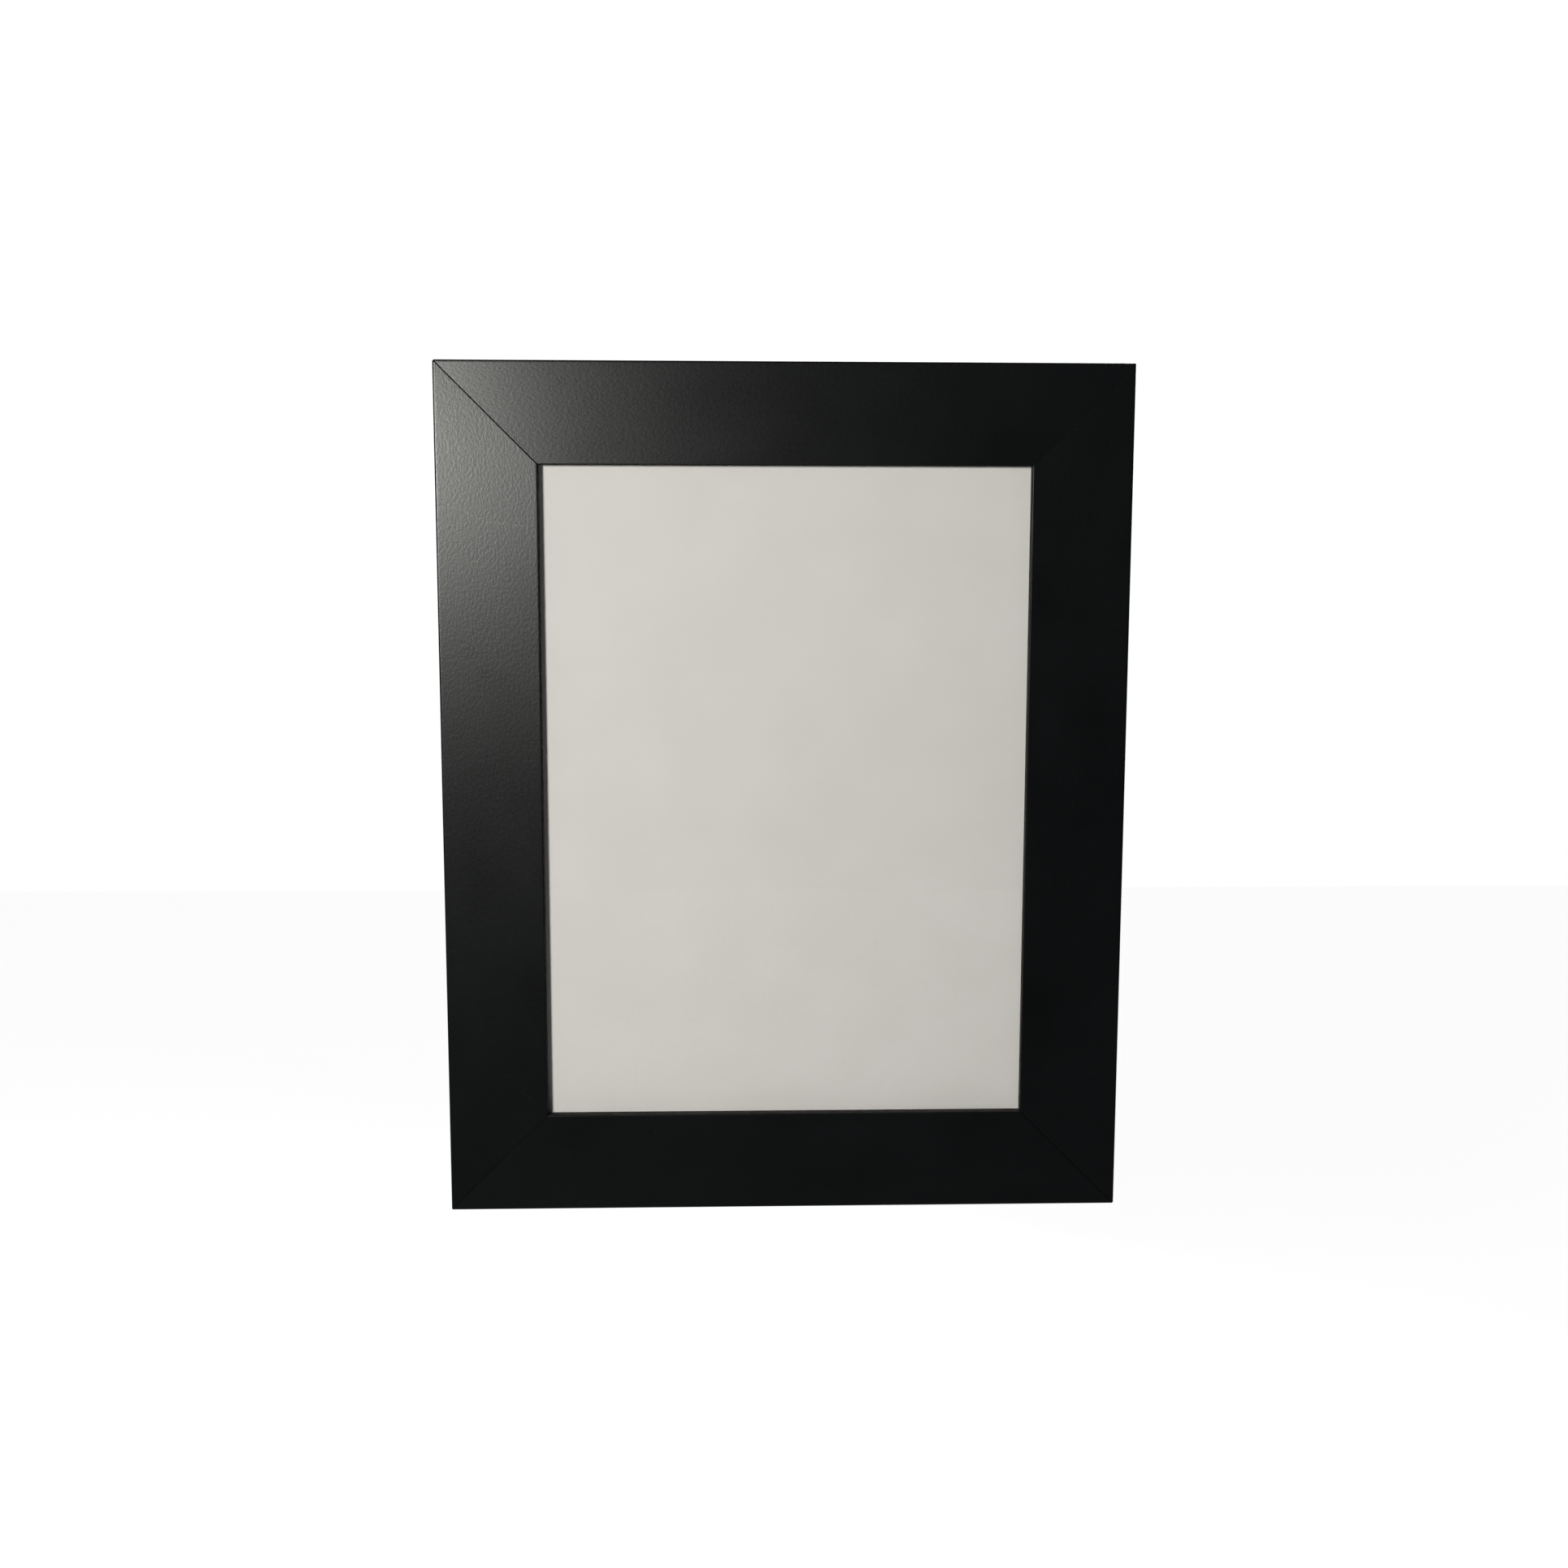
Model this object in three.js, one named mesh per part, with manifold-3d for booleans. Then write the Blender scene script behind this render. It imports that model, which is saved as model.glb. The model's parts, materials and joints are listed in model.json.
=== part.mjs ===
// Portrait picture frame for a 12 by 16 inch picture, as it hangs on a wall, in millimetres.
// X runs to the viewer's right, Y from the room to the wall, and Z up.
// The origin is on the wall, midway between the two hanger rings.

import * as THREE from 'three';
import { mergeVertices } from 'three/addons/utils/BufferGeometryUtils.js';
import Module from 'manifold-3d';

const wasm = await Module();
wasm.setup();

// Picture and rebate
const PICTURE_WIDTH = 304.8;
const PICTURE_HEIGHT = 406.4;
const REBATE_PLAY_WIDTH = 1.5; // how much wider than the picture the rebate is
const REBATE_PLAY_HEIGHT = 2.5;
const LIP_OVERLAP = 7.15; // how far the lip covers the edge of the picture
const LIP_DEPTH = 6.5; // front face to the shoulder that the glass lies on

// Rails
const RAIL_WIDTH = 60;
const OUTER_ARRIS = 0.9;
const SIGHT_ARRIS = 0.7;
const MITRE_GAP = 0.3;

// What lies in the rebate, from the front
const GLASS_THICKNESS = 2;
const SHEET_THICKNESS = 1.4;
const BOARD_THICKNESS = 3;
const BOARD_SINK = 0.5; // the board's back lies this far below the back of the rails
const EDGE_PLAY = 0.75; // glass and board to each wall of the rebate
const SHEET_PLAY = 1.2; // sheet to each wall of the rebate
const SEAT_GAP = 0.2; // between pieces that lie on each other

// Corner nails
const NAIL_INSETS = { outer: 15, inner: 38 }; // bend of the nail from both outer edges
const NAIL_WING = 6;
const NAIL_THICKNESS = 0.7;
const NAIL_SINK = 0.2; // below the back of the rails
const NAIL_COVER = 4; // wood left in front of the nail
const NAIL_FIT = 0.15; // nail to the wood round it

// Screws
const SCREW_SHANK_RADIUS = 1.6;
const SCREW_HEAD_RADIUS = 3;
const SCREW_HEAD_HEIGHT = 2;
const SCREW_HEAD_RIM = 0.7; // height of the upright rim under the dome
const SCREW_POINT = 3.5;
const SCREW_COVER = 3.5; // wood left in front of the screw's point
const SCREW_FIT = 0.12; // shank to the wood round it
const RECESS_SPAN = 3.4;
const RECESS_SLOT = 0.9;
const RECESS_DEPTH = 1.2;

// Turn buttons
const BUTTON_THICKNESS = 1;
const BUTTON_HEAD_RADIUS = 6.5;
const BUTTON_TIP_RADIUS = 4.5;
const BUTTON_PIVOT_INSET = 9; // pivot to the rebate's wall
const BUTTON_HOLD = 11; // how far the tip reaches over the board
const BUTTON_HOLE_PLAY = 0.3; // shank to the hole's wall
const SIDE_BUTTON_OFFSET = 140; // from the middle of a side rail
const END_BUTTON_OFFSET = 75; // from the middle of the top and bottom rails

// Hangers
const HANGER_DROP = 172; // top edge of the frame to the rings
const HANGER_BAR_INSET = 6; // bar of the ring to the rebate's wall
const STRAP_WIDTH = 10;
const STRAP_LENGTH = 30; // bar of the ring to the strap's tail
const STRAP_THICKNESS = 0.7;
const STRAP_LEAF_GAP = 0.2;
const STRAP_HOLE_PLAY = 0.2;
const STRAP_SCREW_INSETS = { inner: 6.5, outer: 22 }; // from the bar of the ring
const WIRE_RADIUS = 0.9;
const WIRE_PLAY = 0.2; // ring's wire to the strap's fold
const RING_SIDE_PLAY = 1.1; // ring's sides to the strap's edges
const RING_CORNER = 2.4;
const RING_STRAIGHT = 5; // bar to the start of the bow
const RING_BUTT_GAP = 0.3; // where the wire's ends meet, inside the fold

// Wall pads
const PAD_RADIUS = 6;
const PAD_FACE_RADIUS = 5;
const PAD_THICKNESS = 4.3;
const PAD_SHOULDER = 2.8; // height at which the side turns in to the face
const PAD_SIDE_INSET = 36;
const PAD_END_INSET = 12;

// Fineness of round shapes
const ARRIS_SEGMENTS = 2;
const ROUND_SEGMENTS = 8;
const SHANK_SIDES = 16;
const DOME_STEPS = 4;
const WIRE_SEGMENTS = 4;
const RING_STEPS = 44;
const PAD_SIDES = 28;
const CUTTER_EXCESS = 1; // how far a cutter stands out of the surface it cuts
const MERGE_DISTANCE = 1e-4;

// Sizes that follow from the ones above
const REBATE_WIDTH = PICTURE_WIDTH + REBATE_PLAY_WIDTH;
const REBATE_HEIGHT = PICTURE_HEIGHT + REBATE_PLAY_HEIGHT;
const REBATE_INSET = RAIL_WIDTH - LIP_OVERLAP; // outer edge to the rebate's wall
const OUTER_WIDTH = REBATE_WIDTH + 2 * REBATE_INSET;
const OUTER_HEIGHT = REBATE_HEIGHT + 2 * REBATE_INSET;
const GLASS_FRONT = LIP_DEPTH + SEAT_GAP;
const SHEET_FRONT = GLASS_FRONT + GLASS_THICKNESS + SEAT_GAP;
const BOARD_FRONT = SHEET_FRONT + SHEET_THICKNESS + SEAT_GAP;
const RAIL_DEPTH = BOARD_FRONT + BOARD_THICKNESS + BOARD_SINK;
const HARDWARE_SEAT = RAIL_DEPTH + SEAT_GAP;
const BUTTON_PIVOT = REBATE_INSET - BUTTON_PIVOT_INSET; // from the outer edge
const BUTTON_HEAD_SEAT = HARDWARE_SEAT + BUTTON_THICKNESS + SEAT_GAP;
const RING_BAR = REBATE_INSET - HANGER_BAR_INSET; // from the outer edge
const FOLD_RADIUS = WIRE_RADIUS + WIRE_PLAY;
const STRAP_STACK = 2 * STRAP_THICKNESS + STRAP_LEAF_GAP;
const STRAP_HEAD_SEAT = HARDWARE_SEAT + STRAP_STACK + SEAT_GAP;

// Finishes
const blackFoil = new THREE.MeshStandardMaterial({ color: 0x131517, roughness: 0.42, metalness: 0 });
const clearGlass = new THREE.MeshStandardMaterial({
  color: 0xe6efec, roughness: 0.03, metalness: 0, transparent: true, opacity: 0.3,
});
const whiteCard = new THREE.MeshStandardMaterial({ color: 0xd8d4cc, roughness: 0.9, metalness: 0 });
const brownBoard = new THREE.MeshStandardMaterial({ color: 0x8a6a48, roughness: 0.85, metalness: 0 });
const nailSteel = new THREE.MeshStandardMaterial({ color: 0x8c8e90, roughness: 0.5, metalness: 1 });
const zincPlate = new THREE.MeshStandardMaterial({ color: 0xb9bcbf, roughness: 0.35, metalness: 1 });
const brassPlate = new THREE.MeshStandardMaterial({ color: 0xc2a25c, roughness: 0.35, metalness: 1 });
const greyRubber = new THREE.MeshStandardMaterial({ color: 0x2b2b2c, roughness: 0.85, metalness: 0 });

// A closed geometry as a solid, and a solid as a geometry
function solidOf(geometry) {
  const bare = geometry.clone();
  bare.deleteAttribute('normal');
  bare.deleteAttribute('uv');
  const merged = mergeVertices(bare, MERGE_DISTANCE);
  return new wasm.Manifold(new wasm.Mesh({
    numProp: 3,
    vertProperties: merged.attributes.position.array,
    triVerts: Uint32Array.from(merged.index.array),
  }));
}

function geometryOf(solid) {
  const mesh = solid.getMesh();
  const geometry = new THREE.BufferGeometry();
  geometry.setAttribute('position', new THREE.BufferAttribute(mesh.vertProperties, 3));
  geometry.setIndex(new THREE.BufferAttribute(mesh.triVerts, 1));
  geometry.computeVertexNormals();
  return geometry;
}

function cut(geometry, cutters) {
  let solid = solidOf(geometry);
  for (const cutter of cutters) solid = solid.subtract(solidOf(cutter));
  return geometryOf(solid);
}

function named(name, geometry, material) {
  const mesh = new THREE.Mesh(geometry, material);
  mesh.name = name;
  return mesh;
}

// A flat plate: its outline lies in X and Z, and it is thick along Y
function plate(outline, thickness) {
  const geometry = new THREE.ExtrudeGeometry(outline, {
    depth: thickness, bevelEnabled: false, curveSegments: ROUND_SEGMENTS,
  });
  geometry.rotateX(Math.PI / 2);
  geometry.translate(0, thickness, 0);
  return geometry;
}

// A section in Z (across) and Y (up), drawn out along X and centred on it
function drawnAlongX(section, length, segments) {
  const geometry = new THREE.ExtrudeGeometry(section, {
    depth: length, bevelEnabled: false, curveSegments: segments,
  });
  geometry.rotateY(-Math.PI / 2);
  geometry.translate(length / 2, 0, 0);
  return geometry;
}

function outlineOf(points) {
  return new THREE.Shape(points.map(([x, y]) => new THREE.Vector2(x, y)));
}

// A round cutter along Y, from a depth up past a surface
function roundCutter(radius, x, z, bottom, top) {
  const height = top + CUTTER_EXCESS - bottom;
  const geometry = new THREE.CylinderGeometry(radius, radius, height, SHANK_SIDES);
  geometry.translate(x, bottom + height / 2, z);
  return geometry;
}

// Rail: L-shaped section with rounded front edges, and both ends mitred.
// Its own frame has X along the rail, Y from the front face to the back and Z from the outer edge inwards.
function railSection() {
  const section = new THREE.Shape();
  section.moveTo(REBATE_INSET, RAIL_DEPTH);
  section.lineTo(0, RAIL_DEPTH);
  section.absarc(OUTER_ARRIS, OUTER_ARRIS, OUTER_ARRIS, Math.PI, 1.5 * Math.PI, false);
  section.absarc(RAIL_WIDTH - SIGHT_ARRIS, SIGHT_ARRIS, SIGHT_ARRIS, 1.5 * Math.PI, 2 * Math.PI, false);
  section.lineTo(RAIL_WIDTH, LIP_DEPTH);
  section.lineTo(REBATE_INSET, LIP_DEPTH);
  return section;
}

function mitredRail(length) {
  const geometry = drawnAlongX(railSection(), length, ARRIS_SEGMENTS);
  const corners = geometry.attributes.position;
  const setback = MITRE_GAP * Math.SQRT1_2;
  for (let i = 0; i < corners.count; i += 1) {
    const reach = length / 2 - setback - corners.getZ(i);
    corners.setX(i, Math.sign(corners.getX(i)) * reach);
  }
  return geometry;
}

// Corner nail: a steel V whose wings run along the two rails from a bend on the mitre
function nailOutline(inset, grow, mirror = 1) {
  const low = inset - grow;
  const bend = inset + NAIL_THICKNESS + grow;
  const end = inset + NAIL_WING + grow;
  const points = [[low, low], [end, low], [end, bend], [bend, bend], [bend, end], [low, end]];
  return outlineOf(points.map(([x, z]) => [mirror * x, z]));
}

function cornerNail(inset) {
  const geometry = plate(nailOutline(inset, 0), RAIL_DEPTH - NAIL_SINK - NAIL_COVER);
  geometry.translate(0, NAIL_COVER, 0);
  return geometry;
}

function nailSlots(length) {
  const slots = [];
  for (const inset of Object.values(NAIL_INSETS)) {
    for (const end of [-1, 1]) {
      const bottom = NAIL_COVER - NAIL_FIT;
      const slot = plate(nailOutline(inset, NAIL_FIT, -end), RAIL_DEPTH + CUTTER_EXCESS - bottom);
      slot.translate(end * length / 2, bottom, 0);
      slots.push(slot);
    }
  }
  return slots;
}

// Pan-head screw along Y: the head's underside is at zero and the point below it
function panHeadScrew(reach) {
  const profile = [
    new THREE.Vector2(0, -reach),
    new THREE.Vector2(SCREW_SHANK_RADIUS, SCREW_POINT - reach),
    new THREE.Vector2(SCREW_SHANK_RADIUS, 0),
    new THREE.Vector2(SCREW_HEAD_RADIUS, 0),
  ];
  for (let step = 0; step <= DOME_STEPS; step += 1) {
    const turn = (step / DOME_STEPS) * Math.PI / 2;
    const radius = step === DOME_STEPS ? 0 : SCREW_HEAD_RADIUS * Math.cos(turn);
    const rise = (SCREW_HEAD_HEIGHT - SCREW_HEAD_RIM) * Math.sin(turn);
    profile.push(new THREE.Vector2(radius, SCREW_HEAD_RIM + rise));
  }
  const [arm, half] = [RECESS_SPAN / 2, RECESS_SLOT / 2];
  const cross = outlineOf([
    [half, half], [arm, half], [arm, -half], [half, -half], [half, -arm], [-half, -arm],
    [-half, -half], [-arm, -half], [-arm, half], [-half, half], [-half, arm], [half, arm],
  ]);
  const recess = plate(cross, RECESS_DEPTH + CUTTER_EXCESS);
  recess.translate(0, SCREW_HEAD_HEIGHT - RECESS_DEPTH, 0);
  return cut(new THREE.LatheGeometry(profile, SHANK_SIDES), [recess]);
}

function screwHole(x, z) {
  const radius = SCREW_SHANK_RADIUS + SCREW_FIT;
  return roundCutter(radius, x, z, SCREW_COVER - SCREW_FIT, RAIL_DEPTH);
}

// Turn button: a stamped plate, round at the screw and narrower at the tip that holds the board
function turnButton() {
  const reach = BUTTON_PIVOT_INSET + BUTTON_HOLD - BUTTON_TIP_RADIUS;
  const flank = Math.asin((BUTTON_HEAD_RADIUS - BUTTON_TIP_RADIUS) / reach);
  const outline = new THREE.Shape();
  outline.absarc(0, 0, BUTTON_HEAD_RADIUS, Math.PI - flank, 2 * Math.PI + flank, false);
  outline.absarc(0, reach, BUTTON_TIP_RADIUS, flank, Math.PI - flank, false);
  const hole = new THREE.Path();
  hole.absarc(0, 0, SCREW_SHANK_RADIUS + BUTTON_HOLE_PLAY, 0, 2 * Math.PI, false);
  outline.holes.push(hole);
  return plate(outline, BUTTON_THICKNESS);
}

// Hanger strap: sheet steel folded round the ring's bar, with both leaves flat on the rail.
// Its own frame has the bar over X and Z zero, and its underside at Y zero.
function strapSection() {
  const barHeight = STRAP_THICKNESS + FOLD_RADIUS;
  const outerRadius = FOLD_RADIUS + STRAP_THICKNESS;
  const outerEnd = Math.PI - Math.asin((STRAP_STACK - barHeight) / outerRadius);
  const innerEnd = Math.PI - Math.asin((STRAP_STACK - STRAP_THICKNESS - barHeight) / FOLD_RADIUS);
  const section = new THREE.Shape();
  section.moveTo(-STRAP_LENGTH, STRAP_THICKNESS);
  section.lineTo(-STRAP_LENGTH, 0);
  section.absarc(0, barHeight, outerRadius, -Math.PI / 2, outerEnd, false);
  section.lineTo(-STRAP_LENGTH, STRAP_STACK);
  section.lineTo(-STRAP_LENGTH, STRAP_STACK - STRAP_THICKNESS);
  section.absarc(0, barHeight, FOLD_RADIUS, innerEnd, -Math.PI / 2, true);
  return section;
}

function hangerStrap() {
  const half = STRAP_WIDTH / 2;
  const foldEnd = FOLD_RADIUS + STRAP_THICKNESS + CUTTER_EXCESS;
  const plan = new THREE.Shape();
  plan.moveTo(half, foldEnd);
  plan.lineTo(-half, foldEnd);
  plan.absarc(0, half - STRAP_LENGTH, half, Math.PI, 2 * Math.PI, false);
  const top = STRAP_THICKNESS + 2 * FOLD_RADIUS + STRAP_THICKNESS;
  const roundTail = plate(plan, top + 2 * CUTTER_EXCESS);
  roundTail.translate(0, -CUTTER_EXCESS, 0);
  const folded = solidOf(drawnAlongX(strapSection(), STRAP_WIDTH, ROUND_SEGMENTS));
  const rounded = geometryOf(folded.intersect(solidOf(roundTail)));
  const holes = Object.values(STRAP_SCREW_INSETS).map((inset) => (
    roundCutter(SCREW_SHANK_RADIUS + STRAP_HOLE_PLAY, 0, -inset, -CUTTER_EXCESS, STRAP_STACK)
  ));
  return cut(rounded, holes);
}

// Hanger ring: round wire bent to a D, whose ends meet in the middle of the straight bar.
// Its own frame has the bar's axis on X.
class FlatBend extends THREE.Curve {
  constructor(bend) {
    super();
    this.bend = bend;
  }

  getPoint(along, target = new THREE.Vector3()) {
    const point = this.bend.getPointAt(along);
    return target.set(point.x, 0, point.y);
  }
}

function hangerRing() {
  const half = STRAP_WIDTH / 2 + RING_SIDE_PLAY + WIRE_RADIUS;
  const corner = half - RING_CORNER;
  const bend = new THREE.Path();
  bend.moveTo(RING_BUTT_GAP / 2, 0);
  bend.lineTo(corner, 0);
  bend.absarc(corner, RING_CORNER, RING_CORNER, -Math.PI / 2, 0, false);
  bend.absarc(0, RING_STRAIGHT, half, 0, Math.PI, false);
  bend.absarc(-corner, RING_CORNER, RING_CORNER, Math.PI, 1.5 * Math.PI, false);
  bend.lineTo(-RING_BUTT_GAP / 2, 0);
  const wire = new THREE.Shape();
  wire.absarc(0, 0, WIRE_RADIUS, 0, 2 * Math.PI, false);
  return new THREE.ExtrudeGeometry(wire, {
    steps: RING_STEPS, extrudePath: new FlatBend(bend), curveSegments: WIRE_SEGMENTS,
  });
}

// Wall pad: a rubber disc whose side turns in to a flat face
function wallPad() {
  return new THREE.LatheGeometry([
    new THREE.Vector2(0, 0),
    new THREE.Vector2(PAD_RADIUS, 0),
    new THREE.Vector2(PAD_RADIUS, PAD_SHOULDER),
    new THREE.Vector2(PAD_FACE_RADIUS, PAD_THICKNESS),
    new THREE.Vector2(0, PAD_THICKNESS),
  ], PAD_SIDES);
}

// The frame's own group has its origin at the middle of the front face
const frame = new THREE.Group();
frame.position.set(0, -(HARDWARE_SEAT + PAD_THICKNESS), HANGER_DROP - OUTER_HEIGHT / 2);

// Each rail's group holds the rail and what is fastened to its back
const SIDES = [
  { name: 'bottom', turn: 0, length: OUTER_WIDTH, inset: OUTER_HEIGHT / 2, ends: ['left', 'right'] },
  { name: 'left', turn: Math.PI / 2, length: OUTER_HEIGHT, inset: OUTER_WIDTH / 2, ends: ['upper', 'lower'] },
  { name: 'top', turn: Math.PI, length: OUTER_WIDTH, inset: OUTER_HEIGHT / 2, ends: ['right', 'left'] },
  { name: 'right', turn: -Math.PI / 2, length: OUTER_HEIGHT, inset: OUTER_WIDTH / 2, ends: ['lower', 'upper'] },
];

const buttonPlate = turnButton();
const buttonScrew = panHeadScrew(BUTTON_HEAD_SEAT - SCREW_COVER);
const strapPlate = hangerStrap();
const strapScrew = panHeadScrew(STRAP_HEAD_SEAT - SCREW_COVER);
const ringWire = hangerRing();

for (const side of SIDES) {
  const upright = side.length === OUTER_HEIGHT;
  const group = new THREE.Group();
  group.rotation.y = side.turn;
  group.position.set(-Math.sin(side.turn) * side.inset, 0, -Math.cos(side.turn) * side.inset);
  const cutters = nailSlots(side.length);

  const offset = upright ? SIDE_BUTTON_OFFSET : END_BUTTON_OFFSET;
  for (const [index, end] of side.ends.entries()) {
    const x = index === 0 ? -offset : offset;
    const button = named(`turn_button_${side.name}_${end}`, buttonPlate, zincPlate);
    button.position.set(x, HARDWARE_SEAT, BUTTON_PIVOT);
    const screw = named(`button_screw_${side.name}_${end}`, buttonScrew, zincPlate);
    screw.position.set(x, BUTTON_HEAD_SEAT, BUTTON_PIVOT);
    group.add(button, screw);
    cutters.push(screwHole(x, BUTTON_PIVOT));
  }

  if (upright) {
    const upperSign = side.ends[0] === 'upper' ? -1 : 1;
    const x = upperSign * (OUTER_HEIGHT / 2 - HANGER_DROP);
    const strap = named(`hanger_strap_${side.name}`, strapPlate, brassPlate);
    strap.position.set(x, HARDWARE_SEAT, RING_BAR);
    const ring = named(`hanger_ring_${side.name}`, ringWire, brassPlate);
    ring.position.set(x, HARDWARE_SEAT + STRAP_THICKNESS + FOLD_RADIUS, RING_BAR);
    group.add(strap, ring);
    for (const [place, inset] of Object.entries(STRAP_SCREW_INSETS)) {
      const screw = named(`hanger_screw_${side.name}_${place}`, strapScrew, brassPlate);
      screw.position.set(x, STRAP_HEAD_SEAT, RING_BAR - inset);
      group.add(screw);
      cutters.push(screwHole(x, RING_BAR - inset));
    }
  }

  group.add(named(`rail_${side.name}`, cut(mitredRail(side.length), cutters), blackFoil));
  frame.add(group);
}

// Each corner's group has its origin at the outer corner, and X and Z along the two rails
const CORNERS = [
  { name: 'bottom_left', turn: 0, x: -1, z: -1 },
  { name: 'bottom_right', turn: -Math.PI / 2, x: 1, z: -1 },
  { name: 'top_right', turn: Math.PI, x: 1, z: 1 },
  { name: 'top_left', turn: Math.PI / 2, x: -1, z: 1 },
];

for (const corner of CORNERS) {
  const group = new THREE.Group();
  group.rotation.y = corner.turn;
  group.position.set(corner.x * OUTER_WIDTH / 2, 0, corner.z * OUTER_HEIGHT / 2);
  for (const [place, inset] of Object.entries(NAIL_INSETS)) {
    group.add(named(`corner_nail_${corner.name}_${place}`, cornerNail(inset), nailSteel));
  }
  frame.add(group);

  const pad = named(`wall_pad_${corner.name}`, wallPad(), greyRubber);
  pad.position.set(
    corner.x * (OUTER_WIDTH / 2 - PAD_SIDE_INSET),
    HARDWARE_SEAT,
    corner.z * (OUTER_HEIGHT / 2 - PAD_END_INSET),
  );
  frame.add(pad);
}

// Glass and backing board fill the rebate, and the sheet lies between them
function pane(name, play, front, thickness, material) {
  const width = REBATE_WIDTH - 2 * play;
  const height = REBATE_HEIGHT - 2 * play;
  const mesh = named(name, new THREE.BoxGeometry(width, thickness, height), material);
  mesh.position.y = front + thickness / 2;
  frame.add(mesh);
}

pane('glass_pane', EDGE_PLAY, GLASS_FRONT, GLASS_THICKNESS, clearGlass);
pane('blank_sheet', SHEET_PLAY, SHEET_FRONT, SHEET_THICKNESS, whiteCard);
pane('backing_board', EDGE_PLAY, BOARD_FRONT, BOARD_THICKNESS, brownBoard);

export default frame;
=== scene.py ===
import json
import math

import bmesh
import bpy
from mathutils import Euler, Matrix, Vector


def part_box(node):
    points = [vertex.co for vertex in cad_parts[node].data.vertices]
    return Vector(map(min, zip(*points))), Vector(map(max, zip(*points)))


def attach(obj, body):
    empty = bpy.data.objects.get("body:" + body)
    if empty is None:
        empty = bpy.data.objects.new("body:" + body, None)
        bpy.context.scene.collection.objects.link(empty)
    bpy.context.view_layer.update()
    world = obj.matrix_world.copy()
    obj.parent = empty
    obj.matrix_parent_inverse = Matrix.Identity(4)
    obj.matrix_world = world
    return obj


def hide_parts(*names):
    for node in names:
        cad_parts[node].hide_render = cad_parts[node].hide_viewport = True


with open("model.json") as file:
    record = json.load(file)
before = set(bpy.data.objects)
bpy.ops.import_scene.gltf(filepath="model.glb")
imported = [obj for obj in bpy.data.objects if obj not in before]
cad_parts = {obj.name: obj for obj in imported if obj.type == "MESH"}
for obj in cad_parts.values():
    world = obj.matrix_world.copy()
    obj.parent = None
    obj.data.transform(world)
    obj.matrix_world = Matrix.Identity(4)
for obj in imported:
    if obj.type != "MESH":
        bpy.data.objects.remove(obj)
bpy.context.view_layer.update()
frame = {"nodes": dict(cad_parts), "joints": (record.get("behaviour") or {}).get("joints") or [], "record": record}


# Rails
# Four lengths of fibreboard moulding wrapped in matt-black foil, sawn at 45 degrees and glued up.
# The foil covers the face, the sides and the rebate and is turned over onto the back, where the
# board is bare. The lip's narrow inner edge is painted dull black.

rail_low, rail_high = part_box("rail_bottom")
glass_low, glass_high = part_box("glass_pane")
LEFT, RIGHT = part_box("rail_left")[0].x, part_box("rail_right")[1].x
BOTTOM, TOP = rail_low.z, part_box("rail_top")[1].z
FRAME_WIDTH = RIGHT - LEFT
FRAME_HEIGHT = TOP - BOTTOM
FRONT = rail_low.y
FRONT_MIDDLE = Vector(((LEFT + RIGHT) / 2, FRONT, (BOTTOM + TOP) / 2))
RAIL_BACK = rail_high.y
RAIL_WIDTH = rail_high.z - rail_low.z
RAIL_DEPTH = RAIL_BACK - FRONT
GLASS_PLAY = 0.00075  # between the pane's edge and the rebate's wall
REBATE_INSET = glass_low.x - GLASS_PLAY - LEFT
SEAT_GAP = 0.0002  # between the lip and the pane
LIP_DEPTH = glass_low.y - SEAT_GAP - FRONT
OUTER_ARRIS = 0.0010
SIGHT_ARRIS = 0.0006
BACK_ARRIS = 0.0005
ARRIS_STEPS = 6
ARRIS_PROFILE = 0.4  # a little flatter than a quarter circle
HOLLOW = 0.00016  # how far the middle of each face has sunk
HOLLOW_STEPS = 10
FACE_SKIN = HOLLOW + 0.00001  # no part of the face lies deeper
EDGE_STRIP = 0.0008  # narrow strip of the face beside each arris
# how far each joint has opened since it was glued
MITRE_GAPS = {"top_left": 0.0006, "top_right": 0.0001, "bottom_left": 0.0004, "bottom_right": 0.0004}
SAWN_ARRIS = 0.0001
GLUE_INSET = 0.00045  # the glue stops this far inside the joint's outline
GLUE_CLEAR = 0.00002  # and this far short of the other rail
STAIN_DEPTH = 0.009  # black stain wiped on the sawn ends, from the face
TURNOVER = 0.007  # foil on the back
TURNOVER_RISE = 0.0001  # the foil's own thickness, where its edge shows
NAIL_FIT = 0.00015  # between a nail and the wood
SHANK_SHARE = 1.6 / 3  # a screw's shank against its head
SCREW_FIT = 0.00012  # between a screw and the wood
ROUND_SIDES = 64
HOLE_SIDES = 32
HOLE_OVERRUN = 0.001  # past the back of the wood
SMOOTH_ANGLE = math.radians(32)
SAME_PLACE = 1e-6
JUST_PAST = 1e-4
FACING = 0.9  # a face looks along an axis when its normal goes this far along it
SQUARE = 0.1  # and is square to one when it goes less than this far
LIP_LEAN = 0.7  # the sight edge's arris is painted down to where its normal goes this far inwards
BOARD_SLOT, LIP_SLOT = 1, 2  # after the foil

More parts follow.
